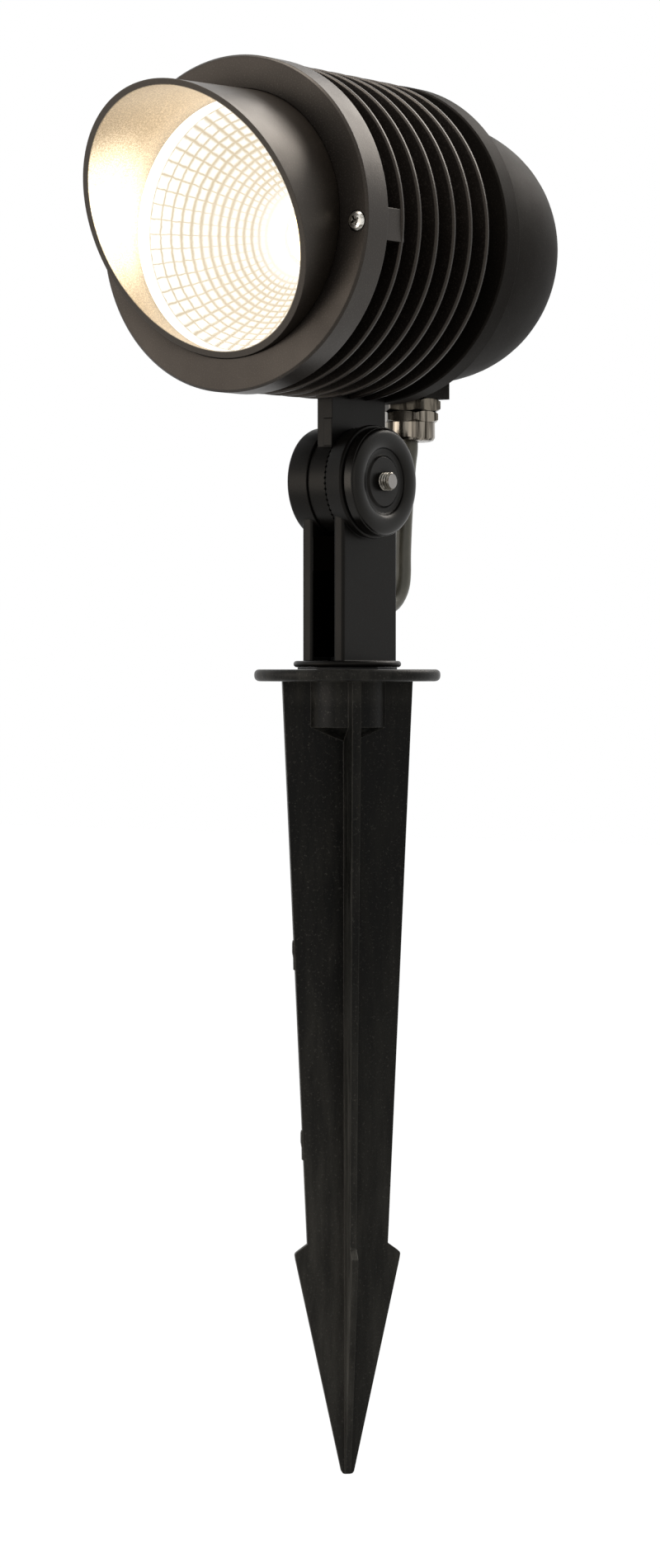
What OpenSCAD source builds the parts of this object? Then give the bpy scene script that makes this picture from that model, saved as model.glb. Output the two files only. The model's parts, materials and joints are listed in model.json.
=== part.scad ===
// Garden spike spotlight: a finned lamp head on a toothed tilting hinge, a fork that
// swivels in the spike's socket, and a cross-bladed spike that is pushed into soil.
// Frame: millimetres, +Z up, the lamp shines along -Y, the hinge lies along X, and the
// origin is on the spike's axis in the plane of the underside of its flange.

/* [Placing] */
// height of the hinge above the underside of the flange
pivot_z = 65; // [55:0.5:75]
// clearance from the hinge's axis to the underside of the bezel
head_lift = 26.2; // [22:0.2:34]

/* [Hood] */
// step from the bezel's pocket in to the hood's outside
hood_step = 4.2; // [3:0.1:6]
// draft of the hood: how much smaller its outside radius is at its longest tip
hood_draft = 1.3; // [0:0.1:4]
// wall of the hood
hood_wall = 2.0; // [1.2:0.1:3]
// how far the hood's rim stands out of the bezel at its lowest
hood_low = 0.3; // [0.1:0.1:15]
// forward lean of the rim plane for each millimetre of height
hood_slope = 0.46; // [0:0.01:0.8]
// radial clearance of the hood's foot flange in the bezel's pocket
foot_fit = 0.4; // [0.1:0.1:1]
// thickness of the hood's foot flange
hood_foot_t = 1.1; // [0.8:0.1:2]

/* [Bezel] */
// outside radius of the bezel ring
bezel_r = 53.2; // [48:0.2:58]
// forward position of the bezel's face
bezel_front = 61.0; // [55:0.1:66]
// depth of the bezel, front to back
bezel_depth = 11.2; // [9.5:0.1:14]
// thickness of the bezel's front plate
bezel_plate = 1.4; // [1:0.1:3]
// wall of the bezel round the pocket that holds the hood foot and the glass
bezel_wall = 6.6; // [5.6:0.1:9]
// offset of the two bezel screws inwards from the middle of that wall
bezel_screw_inset = 0.9; // [0:0.1:1.5]
// drop of the two bezel screws below the barrel's axis
bezel_screw_drop = 2.4; // [0:0.1:5]
// radius of a bezel screw's head
bezel_head_r = 3.0; // [2:0.1:3.5]
// height of a bezel screw's head
bezel_head_h = 2.0; // [1:0.1:3]
// depth of the seat that a bezel screw's head sits in
bezel_seat_d = 0.9; // [0:0.1:1.5]
// radius of a bezel screw's shank
bezel_shank_r = 1.5; // [1:0.05:2]
// length of a bezel screw under its head
bezel_screw_len = 19; // [14:0.5:24]
// depth of the threaded hole behind the bezel
bezel_hole_deep = 10.5; // [8:0.5:14]
// chamfer on the bezel's front edge
bezel_chamfer = 0.7; // [0.2:0.1:1.5]

/* [Glass and gasket] */
// wall of the gasket round the edge of the front glass
gasket_wall = 1.6; // [1:0.1:3]
// thickness of the front glass
glass_t = 3.5; // [2:0.5:6]
// thickness of each lip of the glass gasket
lip_t = 1.5; // [1:0.1:2.5]
// overlap of the gasket's front lip on the glass
lip_grip = 4.1; // [2:0.1:6]
// overlap of the gasket's rear lip on the glass
rear_lip_grip = 3.0; // [2:0.1:5]

/* [Reflector] */
// width of the smooth rim round the bowl's facets
bowl_rim = 2.1; // [1.5:0.1:5]
// drop of the facets behind the smooth rim
bowl_drop = 1.3; // [0.5:0.1:4]
// radius of the bowl's throat
throat_r = 10.4; // [7:0.1:14]
// clearance of the bowl's throat in front of the light board
throat_lift = 2.8; // [1.5:0.1:6]
// wall of the bowl
bowl_wall = 1.2; // [0.8:0.1:2]
// facets round the bowl
facets_round = 50; // [24:1:72]
// rows of facets from throat to rim
facet_rows = 15; // [8:1:24]
// height of the pillow on each facet
pillow = 0.22; // [0:0.02:0.5]
// depth of the skirt behind the bowl's rim
bowl_skirt = 3.2; // [2:0.1:5]

/* [Light source] */
// side of the light board
board_side = 24; // [18:0.5:30]
// thickness of the light board
board_t = 1.2; // [0.8:0.1:2]
// radius of the glowing disc
glow_r = 9.0; // [5:0.5:12]
// height of the glowing disc
glow_t = 0.6; // [0.3:0.1:1]
// side of the thermal pad under the board
pad_side = 26; // [20:0.5:32]
// thickness of the thermal pad
pad_t = 0.4; // [0.2:0.1:1]
// radius of the holder that clamps the board
holder_r = 21; // [18:0.5:24]
// distance of the holder's screws from its centre
holder_screw_x = 16.5; // [14:0.5:18]

/* [Heat sink] */
// step from the bezel's edge in to the edge of the fins
fin_inset = 0.6; // [0:0.1:3]
// number of thin fins
fin_count = 6; // [4:1:9]
// distance from the bezel's rear face to the first fin's middle
fin_gap = 8.6; // [6:0.2:12]
// rearward position of the last fin's middle
fin_last = 5.1; // [0:0.1:9]
// thickness of a fin at its rim
fin_tip = 1.7; // [1:0.1:3]
// thickness of a fin at its root
fin_root = 2.6; // [1.5:0.1:4]
// depth of the gaps between the fins
fin_depth = 8.1; // [6:0.1:10]
// step from the gasket's rear lip out to the front cup
cup_step = 0.2; // [0.1:0.1:1]
// wall between the rear chamber and the gaps of the fins
sink_wall = 6.5; // [5:0.1:9]
// forward position of the wall that carries the light source
wall_front = 17.0; // [12:0.5:22]
// thickness of that wall
wall_t = 8.0; // [4:0.5:12]
// rearward position of the heat sink's rear face
sink_rear = 14.7; // [12:0.1:18]
// length of its spigot inside the rear housing
spigot_len = 7.3; // [4:0.1:10]
// wall of the spigot
spigot_wall = 3.4; // [2:0.1:5]
// height of the two screw blocks behind the bezel
block_h = 10.2; // [8:0.1:14]
// step from the edge of the fins in to the flat faces of the two screw blocks
block_inset = 0.6; // [0:0.1:2]
// length of the heat sink's front sleeve behind the bezel's rear face
sleeve_len = 1.6; // [1:0.1:3]
// length of the cone behind that sleeve
sleeve_cone = 1.8; // [1:0.1:3]

/* [Rear housing] */
// thickness of the gasket between heat sink and rear housing
band_gap = 0.8; // [0.5:0.1:1.5]
// width of the smooth band
band_width = 8.5; // [6:0.1:14]
// step from the spigot's fit out to the inside of the cap
cap_step = 1.0; // [0.5:0.1:3]
// distance from the band's rear edge forward to where the cap begins to close
cap_overlap = 16; // [8:0.5:24]
// length over which the cap closes
cap_length = 70; // [50:0.5:90]
// squareness of the cap's shoulder
cap_power = 4.0; // [2:0.1:6]
// wall of the cap
cap_wall = 3.0; // [2:0.1:5]
// distance of the three long screws from the wall of the rear chamber
post_inset = 5; // [4.5:0.1:8]
// radius of a screw post
post_r = 3.6; // [3:0.1:5]
// side of the square pad under the gland
gland_pad = 19.0; // [16:0.5:24]
// radius of a long screw's shank
post_screw_r = 2.0; // [1.5:0.1:2.5]
// radius of a long screw's head
post_head_r = 3.5; // [2.6:0.1:4.5]
// height of a long screw's head
post_head_h = 2.4; // [1.5:0.1:3]
// length of a long screw under its head
post_screw_len = 20; // [16:0.5:24]
// depth of the seat of a long screw's head in the wall
post_seat = 3.2; // [2.6:0.1:4]

/* [Driver and inner wires] */
// width of the driver's case
driver_w = 38; // [30:1:44]
// height of the driver's case
driver_h = 26; // [20:1:30]
// rearward position of the driver's end
driver_rear = 44; // [38:1:60]
// width across the driver's two ears
driver_ears = 56; // [50:1:60]
// distance of the driver's screws from its centre
driver_screw_x = 23.5; // [20:0.5:26]
// thickness of the driver's ears
driver_ear_t = 2.0; // [1.5:0.1:3]
// width of the driver's ears
driver_ear_w = 12; // [9:0.5:16]
// radius of a driver screw's head
driver_head_r = 2.6; // [2:0.1:3.2]
// height of a driver screw's head
driver_head_h = 1.6; // [1:0.1:2.4]
// radius of the shank of the driver's and the holder's screws
small_screw_r = 1.2; // [1:0.05:1.6]
// length of a driver screw under its head
driver_screw_len = 6.6; // [5:0.1:7]
// radius of each inner wire
wire_r = 0.8; // [0.5:0.1:1.5]
// distance between the two inner wires
wire_gap = 2.6; // [2:0.1:5]

/* [Cable gland and lead] */
// distance of the gland's axis behind the smooth band
gland_back = 11.0; // [10:0.5:16]
// drop of the pad's underside below the cap
gland_drop = 4.7; // [2:0.1:8]
// across flats of the gland body's hexagon
gland_flats = 18.0; // [14:0.5:22]
// height of the gland body's hexagon
gland_hex_h = 4.2; // [3:0.1:7]
// across flats of the dome nut's hexagon
nut_flats = 17.2; // [14:0.2:22]
// height of the dome nut's hexagon
nut_hex_h = 3.6; // [2:0.1:6]
// radius of the dome nut's round skirt
nut_r = 8.4; // [6:0.1:10]
// height of the dome nut's round skirt
nut_h = 6.4; // [4:0.1:9]
// radius of the gland body's thread
gland_thread_r = 7.6; // [6:0.1:9]
// radius of the lead
lead_r = 2.7; // [2:0.1:4]

/* [Hinge] */
// radius of the tongue's disc
disc_r = 17.5; // [14:0.1:20]
// reach of the tongue's disc to the right of the middle
disc_half = 4.0; // [3:0.1:5]
// reach of the tongue's disc to the left of the middle
disc_left = 3.0; // [2.4:0.1:5]
// thickness of the tongue's plate
plate_t = 6.0; // [4:0.1:8]
// half depth of the tongue's plate, front to back
plate_half = 14.5; // [10:0.1:17]
// set-back of the plate's middle behind the hinge's axis
set_back = 1.0; // [0:0.1:2]
// number of radial teeth
teeth = 60; // [36:1:90]
// half width of a tooth groove at the rim
groove_half = 0.6; // [0.3:0.05:1]
// depth of a tooth groove
groove_depth = 0.45; // [0.2:0.05:1]
// inside radius of the toothed ring
teeth_inner_r = 11; // [6:0.5:14]
// radius of the hinge bolt's thread
bolt_r = 3.0; // [2:0.25:4]
// radius of the hinge bolt's head
bolt_head_r = 5.0; // [4:0.1:7]
// height of the hinge bolt's head
bolt_head_h = 4.0; // [2:0.1:6]
// reach of the bolt's bare end from the middle of the hinge
bolt_end = 18.4; // [17:0.1:22]
// step from the right ear's edge in to the clamp disc's edge
clamp_inset = 0.9; // [0:0.1:3]
// thickness of the clamp disc's plain rim
clamp_t = 3.4; // [2:0.1:6]
// height of the rounded ring on the clamp disc's face
clamp_ring_h = 1.5; // [0.5:0.1:3]
// half width of the rounded ring
clamp_ring_w = 3.3; // [2:0.1:4]
// radius of the flat inner disc on the clamp disc
clamp_inner_r = 8.0; // [6:0.1:9]

/* [Fork] */
// step from the tongue's disc out to the left ear's edge
left_ear_step = 0.7; // [0:0.1:2]
// step from the tongue's disc out to the right ear's edge
right_ear_step = 1.1; // [0:0.1:3]
// thickness of the right ear
ear_t = 7.3; // [5:0.1:10]
// step from an ear's inner face out to its arm's inner face
arm_step = 0.25; // [0:0.05:1]
// thickness of each arm
arm_t = 4.1; // [2.5:0.1:6]
// half depth of the arms, front to back
arm_half = 14.85; // [10:0.05:17]
// set-back of the arms' middle behind the hinge's axis
arm_back = 1.35; // [0:0.05:2]
// rounding of the arms' upright edges
arm_round = 1.0; // [0.3:0.1:2]
// clearance between the tongue's disc and the web
web_gap = 0.5; // [0.3:0.1:3]
// height of the web
web_h = 11.0; // [6:0.5:14]
// half depth of the web
web_half = 12.8; // [5:0.1:13]
// rim of the collar outside the arms' corners
collar_rim = 0.1; // [0:0.1:3]
// thickness of the rubber washer under the collar
washer_t = 0.7; // [0.6:0.1:2]
// radius of the rubber washer under the collar
washer_r = 16.3; // [12:0.1:17]
// thickness of the collar
collar_t = 2.1; // [1.2:0.1:4]
// radius of the stub that turns in the socket
stub_r = 10.0; // [8:0.1:11]
// depth of the stub below the flange's underside
stub_deep = 10.0; // [8:0.5:12]
// wall of the stub
stub_wall = 2.4; // [1.6:0.1:4]
// wall of the grommet between the lead and the collar's hole
grommet_wall = 1.2; // [0.8:0.1:2]

/* [Spike] */
// radius of the flange
flange_r = 30.5; // [25:0.5:36]
// thickness of the flange
flange_t = 3.9; // [2.5:0.1:6]
// wall of the socket round the fork's stub
socket_wall = 2.22; // [1.5:0.02:4]
// depth of the socket's straight part below the stub
socket_below = 5; // [3:0.5:10]
// height of the cone that closes the socket
socket_cone = 4.5; // [2:0.5:8]
// half width of the blades at the flange
blade_top = 21.5; // [16:0.1:26]
// half width of the blades where the barbs begin
blade_low = 13.3; // [9:0.1:18]
// reach of the barbs' points beyond the blades
barb_reach = 4.1; // [1:0.1:8]
// half width of the blades at the tip
tip_half = 2.1; // [1:0.05:3]
// thickness of a blade at the flange
blade_thick = 2.9; // [2:0.1:4]
// thickness of a blade at the tip
blade_thin = 1.9; // [1.2:0.1:3]
// depth of the barbs' beginning
barb_start = 184; // [160:1:200]
// depth from the barbs' beginning to their points
barb_run = 3; // [1:0.5:12]
// depth of the tip
tip_deep = 259.4; // [220:0.2:280]
// depths of the two small ridges on one blade
ridge_deep = [89.5, 151.6];
// height of a ridge
ridge_h = 9.6; // [5:0.2:14]
// reach of a ridge beyond the blade's edge
ridge_out = 0.65; // [0.2:0.05:1.2]
// radius of the cable outlet under the socket
outlet_r = 3.3; // [2.8:0.1:4]

/* [Fits] */
// radial clearance of the stub in its socket
stub_fit = 0.08; // [0.03:0.01:0.1]
// radial clearance of the bolt in the tongue
bolt_fit = 0.08; // [0.03:0.01:0.1]
// gap between the toothed faces, and between the disc and the left ear
face_gap = 0.05; // [0.03:0.01:0.1]
// gap between still pieces that lie face to face
seat_gap = 0.05; // [0.02:0.01:0.1]
// gap between pieces that only pass each other
free_gap = 0.3; // [0.2:0.05:0.6]

/* [Hidden] */
$fn = 96;
eps = 0.01;
axis_rise = bezel_r + head_lift;
axis_z = pivot_z + axis_rise;
pocket_r = bezel_r - bezel_wall;
bezel_screw_x = (bezel_r + pocket_r) / 2 - bezel_screw_inset;
bezel_rear = bezel_front - bezel_depth;
hood_foot_r = pocket_r - foot_fit;
hood_r_foot = pocket_r - hood_step;
hood_r_tip = hood_r_foot - hood_draft;
hood_reach = bezel_front + hood_low + hood_slope * hood_r_foot;
hood_end = hood_reach + (hood_slope + 0.0558) * hood_r_tip;
glass_r = hood_foot_r - gasket_wall;
lip_r = glass_r - lip_grip;
rear_lip_r = glass_r - rear_lip_grip;
cup_r = rear_lip_r + cup_step;
bowl_r = cup_r - bowl_rim;
fin_r = bezel_r - fin_inset;
core_r = fin_r - fin_depth;
chamber_r = core_r - sink_wall;
spigot_r = chamber_r + spigot_wall;
cap_r = spigot_r + cap_step + cap_wall;
block_x = fin_r - block_inset;
fin_first = bezel_rear - fin_gap;
fin_pitch = (fin_first + fin_last) / (fin_count - 1);
spigot_rear = sink_rear + spigot_len;
band_front = sink_rear + band_gap;
band_rear = band_front + band_width;
cap_start = band_rear - cap_overlap;
post_ring = chamber_r - post_inset;
gland_y = band_rear + gland_back;
gland_top = axis_rise - cap_r - gland_drop;
foot_front = bezel_front - bezel_plate - seat_gap;
gasket_front = foot_front - hood_foot_t - seat_gap;
glass_front = gasket_front - lip_t;
glass_rear = glass_front - glass_t;
gasket_rear = glass_rear - lip_t;
sink_front = gasket_rear - seat_gap;
wall_rear = wall_front - wall_t;
ear_in = disc_half + face_gap;
left_ear_in = disc_left + face_gap;
ear_x = ear_in + ear_t;
left_ear_r = disc_r + left_ear_step;
right_ear_r = disc_r + right_ear_step;
clamp_r = right_ear_r - clamp_inset;
arm_in = ear_in + arm_step;
arm_out = arm_in + arm_t;
web_high = pivot_z - disc_r - web_gap;
web_low = web_high - web_h;
collar_r = norm([arm_out - 0.3 * arm_round, arm_half + arm_back - 0.3 * arm_round]) + collar_rim - 0.3;
collar_low = flange_t + washer_t;
collar_high = collar_low + collar_t;
stub_low = -stub_deep;
stub_bore_r = stub_r - stub_wall;
grommet_hole_r = lead_r + grommet_wall;
socket_r = stub_r + stub_fit + socket_wall;
socket_deep = stub_deep + socket_below;
barb_point = barb_start + barb_run;
barb_half = blade_low + barb_reach;
clamp_x = ear_x + seat_gap;
tongue_top = axis_rise - core_r + 0.4;
plate_low_x = disc_half - plate_t;
plate_mid_y = set_back;
tongue_screw_y = [-3.5, 8.5];
rib_w = 3.4;
rib_h = 8.9;
tongue_screw_x = disc_half - plate_t / 2;
nut_top = gland_top - gland_hex_h - 0.1;
nut_low = nut_top - nut_hex_h - nut_h;
post_angles = [30, 150, 270];
set_screw_z = stub_low + 2.5;
grommet_lip_r = grommet_hole_r + 1.6;
plate_floor = flange_t - 0.9;
board_front = wall_front + pad_t + board_t;
throat_front = board_front + throat_lift;
holder_front = throat_front - seat_gap * 3;
rim_front = glass_rear - seat_gap * 2;
bowl_front = rim_front - bowl_drop;

// barrel frame: z runs rearwards from above the hinge, y runs down
module barrel() {
  translate([0, 0, axis_z])
    rotate([-90, 0, 0])
      children();
}

// hinge frame: z runs along +X from the middle of the hinge
module along_hinge(x) {
  translate([x, 0, pivot_z])
    rotate([0, 90, 0])
      children();
}

// a ring between two radii and two rearward positions
module ring(r_in, r_out, a0, a1) {
  rotate_extrude()
    polygon([[r_in, a0], [r_out, a0], [r_out, a1], [r_in, a1]]);
}

// Hood: a drafted tube with a foot flange, cut by one slanted plane.
module hood() {
  color([0.12, 0.12, 0.12])
    difference() {
      barrel()
        rotate_extrude()
          polygon([
            [hood_r_foot - hood_wall, -foot_front + hood_foot_t],
            [hood_foot_r, -foot_front + hood_foot_t],
            [hood_foot_r, -foot_front],
            [hood_r_foot, -foot_front],
            [hood_r_foot, -bezel_front],
            [hood_r_tip, -hood_end],
            [hood_r_tip - hood_wall, -hood_end]]);
      translate([0, -hood_reach, axis_z])
        rotate([atan(hood_slope), 0, 0])
          translate([-hood_reach, -hood_reach, -hood_reach])
            cube([2 * hood_reach, hood_reach, 2 * hood_reach]);
    }
}

// Bezel ring: front plate with the hood's opening, and the pocket behind it.
module bezel_ring() {
  color([0.1, 0.1, 0.1])
    difference() {
      barrel()
        rotate_extrude()
          polygon([
            [hood_r_foot + free_gap / 2, -bezel_front],
            [bezel_r - bezel_chamfer, -bezel_front],
            [bezel_r, -bezel_front + bezel_chamfer],
            [bezel_r, -bezel_rear - 0.4],
            [bezel_r - 0.4, -bezel_rear],
            [pocket_r, -bezel_rear],
            [pocket_r, -bezel_front + bezel_plate],
            [hood_r_foot + free_gap / 2, -bezel_front + bezel_plate]]);
      for (s = [-1, 1])
        translate([s * bezel_screw_x, 0, axis_z - bezel_screw_drop])
          rotate([90, 0, 0]) {
            translate([0, 0, bezel_rear - 1])
              cylinder(h = bezel_front, r = bezel_shank_r + 0.2, $fn = 32);
            translate([0, 0, bezel_front - bezel_seat_d])
              cylinder(h = 5, r = bezel_head_r + free_gap, $fn = 40);
          }
    }
}

// Pan head screw along its own -z: the head's seat lies at z = 0.
module pan_screw(head_r, head_h, shank_r, len) {
  difference() {
    union() {
      rotate_extrude($fn = 40)
        polygon([
          [0, 0], [head_r, 0], [head_r, head_h * 0.45],
          [head_r * 0.8, head_h * 0.88], [head_r * 0.45, head_h], [0, head_h]]);
      translate([0, 0, -len])
        cylinder(h = len + eps, r = shank_r, $fn = 32);
    }
    for (q = [0, 90])
      rotate([0, 0, q])
        translate([-head_r * 0.55, -head_r * 0.11, head_h * 0.35])
          cube([head_r * 1.1, head_r * 0.22, head_h]);
  }
}

module bezel_screws() {
  color([0.8, 0.8, 0.78])
    for (s = [-1, 1])
      translate([s * bezel_screw_x, -bezel_front + bezel_seat_d - seat_gap,
          axis_z - bezel_screw_drop])
        rotate([90, 0, 0])
          rotate([0, 0, 25])
            pan_screw(bezel_head_r, bezel_head_h, bezel_shank_r, bezel_screw_len);
}

// Glass gasket: one ring with a groove that grips the glass edge.
module glass_gasket() {
  color([0.93, 0.93, 0.9])
    barrel()
      rotate_extrude()
        polygon([
          [lip_r, -gasket_front],
          [hood_foot_r, -gasket_front],
          [hood_foot_r, -gasket_rear],
          [rear_lip_r, -gasket_rear],
          [rear_lip_r, -glass_rear + seat_gap],
          [glass_r + seat_gap, -glass_rear + seat_gap],
          [glass_r + seat_gap, -glass_front],
          [lip_r, -glass_front]]);
}

module glass_lens() {
  color([0.8, 0.9, 0.9, 0.35])
    barrel()
      translate([0, 0, -glass_front + seat_gap])
        cylinder(h = glass_t - seat_gap, r = glass_r);
}

// Faceted bowl: rings of flat pillows on a parabola, built as one closed skin.
// The bowl's radius grows with the square root of its depth in front of the focus.
bowl_k = (bowl_r * bowl_r - throat_r * throat_r) / (bowl_front - throat_front);
bowl_d0 = bowl_front - bowl_r * bowl_r / bowl_k;
function bowl_row_r(i) = throat_r + (bowl_r - throat_r) * i / facet_rows;
function bowl_row_d(i) = bowl_d0 + pow(bowl_row_r(i), 2) / bowl_k;
function ring_point(r, d, j) =
  [r * cos(360 * j / facets_round), r * sin(360 * j / facets_round), -d];
function pillow_point(i, j) =
  let(r = (bowl_row_r(i) + bowl_row_r(i + 1)) / 2,
      d = (bowl_row_d(i) + bowl_row_d(i + 1)) / 2,
      n = sqrt(1 + pow(2 * r / bowl_k, 2)))
    ring_point(r * cos(180 / facets_round) - pillow / n,
      d + pillow * 2 * r / bowl_k / n, j + 0.5);

module reflector() {
  n = facets_round;
  m = facet_rows;
  inner = [for (i = [0:m]) for (j = [0:n - 1]) ring_point(bowl_row_r(i), bowl_row_d(i), j)];
  collar = [for (j = [0:n - 1]) ring_point(bowl_r + 0.8, rim_front, j)];
  brim = [for (j = [0:n - 1]) ring_point(cup_r - 0.35, rim_front, j)];
  skirt = [for (j = [0:n - 1]) ring_point(cup_r - 0.35, rim_front - bowl_skirt, j)];
  outer = [for (i = [m - 1:-1:0]) for (j = [0:n - 1])
    ring_point(bowl_row_r(i) + bowl_wall, bowl_row_d(i), j)];
  mid = [for (i = [0:m - 1]) for (j = [0:n - 1]) pillow_point(i, j)];
  rings = m + 1 + 3 + m;
  base = rings * n;
  points = concat(inner, collar, brim, skirt, outer, mid);
  pillows = [for (i = [0:m - 1]) for (j = [0:n - 1])
    let(a = i * n + j, b = i * n + (j + 1) % n,
        c = (i + 1) * n + (j + 1) % n, d = (i + 1) * n + j, e = base + i * n + j)
      each [[a, b, e], [b, c, e], [c, d, e], [d, a, e]]];
  sides = [for (i = [m:rings - 2]) for (j = [0:n - 1])
    [i * n + j, i * n + (j + 1) % n, (i + 1) * n + (j + 1) % n, (i + 1) * n + j]];
  throat = [for (j = [0:n - 1])
    [(rings - 1) * n + j, (rings - 1) * n + (j + 1) % n, (j + 1) % n, j]];
  color([0.95, 0.95, 0.93])
    barrel()
      polyhedron(points = points, faces = concat(pillows, sides, throat), convexity = 6);
}

// Board holder: a moulded ring whose pocket clamps the light board.
module board_holder() {
  color([0.95, 0.95, 0.95])
    barrel()
      difference() {
        translate([0, 0, -holder_front])
          cylinder(h = holder_front - wall_front - seat_gap, r = holder_r);
        translate([0, 0, -holder_front - 1])
          cylinder(h = 10, r = throat_r + 0.2);
        translate([-board_side / 2 - 0.2, -board_side / 2 - 0.2, -board_front - seat_gap])
          cube([board_side + 0.4, board_side + 0.4, 10]);
        translate([-pad_side / 2 - 0.2, -pad_side / 2 - 0.2, -wall_front - pad_t - 0.1])
          cube([pad_side + 0.4, pad_side + 0.4, 10]);
        for (s = [-1, 1])
          translate([s * holder_screw_x, 0, -holder_front - 1]) {
            cylinder(h = 10, r = 1.35, $fn = 32);
            cylinder(h = 2.6, r = 2.9, $fn = 32);
          }
        translate([-2.6, 11, -holder_front + 1.6])
          cube([5.2, holder_r, 10]);
      }
}

module holder_screws() {
  color([0.75, 0.75, 0.75])
    barrel()
      for (s = [-1, 1])
        translate([s * holder_screw_x, 0, -holder_front + 1.6 - seat_gap])
          rotate([180, 0, 0])
            pan_screw(2.5, 1.5, small_screw_r, driver_screw_len + 0.4);
}

module light_board() {
  color([0.9, 0.8, 0.35])
    barrel() {
      translate([-board_side / 2, -board_side / 2, -board_front])
        cube([board_side, board_side, board_t]);
      translate([0, 0, -board_front - glow_t])
        cylinder(h = glow_t + eps, r = glow_r, $fn = 64);
    }
}

module thermal_pad() {
  color([0.55, 0.55, 0.6])
    barrel()
      translate([-pad_side / 2, -pad_side / 2, -wall_front - pad_t + seat_gap])
        cube([pad_side, pad_side, pad_t - seat_gap * 2]);
}

// Heat sink: cup, wall, fins, two screw blocks and the seat for the tongue.
module fin(a) {
  rotate_extrude()
    polygon([
      [core_r - 1, a - fin_root / 2], [core_r, a - fin_root / 2],
      [fin_r - 0.5, a - fin_tip / 2], [fin_r, a - fin_tip / 2 + 0.45],
      [fin_r, a + fin_tip / 2 - 0.45], [fin_r - 0.5, a + fin_tip / 2],
      [core_r, a + fin_root / 2], [core_r - 1, a + fin_root / 2]]);
}

module heat_sink() {
  color([0.1, 0.1, 0.1])
    difference() {
      union() {
        barrel() {
          rotate_extrude()
            polygon([
              [0, -wall_front], [cup_r, -wall_front], [cup_r, -sink_front],
              [pocket_r - free_gap, -sink_front], [pocket_r - free_gap, -bezel_rear + sleeve_len],
              [core_r, -bezel_rear + sleeve_len + sleeve_cone], [core_r, sink_rear],
              [spigot_r, sink_rear],
              [spigot_r, spigot_rear], [chamber_r, spigot_rear], [chamber_r, -wall_rear],
              [0, -wall_rear]]);
          for (i = [0:fin_count - 1])
            fin(-fin_first + i * fin_pitch);
        }
        for (s = [-1, 1])
          translate([s > 0 ? core_r - 2 : -block_x, -bezel_rear + seat_gap,
              axis_z - bezel_screw_drop - block_h / 2])
            cube([block_x - core_r + 2, bezel_rear - fin_first + fin_tip / 2, block_h]);
      }
      // notch through the fins for the tongue, and its flat seat
      translate([plate_low_x - free_gap, plate_mid_y - plate_half - free_gap, pivot_z])
        cube([plate_t + 2 * free_gap, 2 * plate_half + 2 * free_gap, tongue_top + seat_gap]);
      // bezel screw threads
      for (s = [-1, 1])
        translate([s * bezel_screw_x, -bezel_rear + bezel_hole_deep, axis_z - bezel_screw_drop])
          rotate([90, 0, 0])
            cylinder(h = 2 * bezel_hole_deep, r = bezel_shank_r + 0.03, $fn = 32);
      // tongue screws, driven from inside the rear chamber
      for (y = tongue_screw_y)
        translate([tongue_screw_x, y, axis_z - chamber_r - 8]) {
          cylinder(h = 20, r = 2.1, $fn = 32);
          translate([0, 0, 7.4])
            cylinder(h = 12, r = 4.0, $fn = 40);
        }
      barrel() {
        // long screws to the rear housing
        for (q = post_angles)
          rotate([0, 0, q])
            translate([post_ring, 0, -wall_front - 1]) {
              cylinder(h = wall_t + 5, r = post_screw_r * 1.1, $fn = 32);
              cylinder(h = post_seat + 1, r = post_head_r + 0.4, $fn = 40);
            }
        // board holder screws, driver screws and the wire hole
        for (s = [-1, 1]) {
          translate([s * holder_screw_x, 0, -wall_front - 1])
            cylinder(h = 5.6, r = small_screw_r + seat_gap, $fn = 32);
          translate([s * driver_screw_x, 0, -wall_rear - 5])
            cylinder(h = 6, r = small_screw_r + seat_gap, $fn = 32);
        }
        translate([0, 17.2, -wall_front - 1])
          cylinder(h = 20, r = 3.0, $fn = 40);
      }
    }
}

module housing_gasket() {
  color([0.15, 0.15, 0.15])
    barrel()
      ring(spigot_r + 0.25, core_r - 0.5, sink_rear + seat_gap, band_front - seat_gap);
}

// Rear housing: smooth band, rounded cap, screw posts and the pad for the gland.
function cap_point(r, a0, len, t) = [r * pow(max(0, 1 - pow(t, cap_power)), 1 / cap_power),
  a0 + len * t];
cap_t0 = (band_rear - cap_start) / cap_length;
cap_steps = 22;
function cap_t(i) = cap_t0 + (1 - cap_t0) * (1 - pow(1 - i / cap_steps, 2));
cap_outer = [for (i = [0:cap_steps]) cap_point(cap_r, cap_start, cap_length, cap_t(i))];
cap_inner = [for (i = [cap_steps:-1:0])
  cap_point(cap_r - cap_wall, cap_start, cap_length - cap_wall, cap_t(i))];

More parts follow.
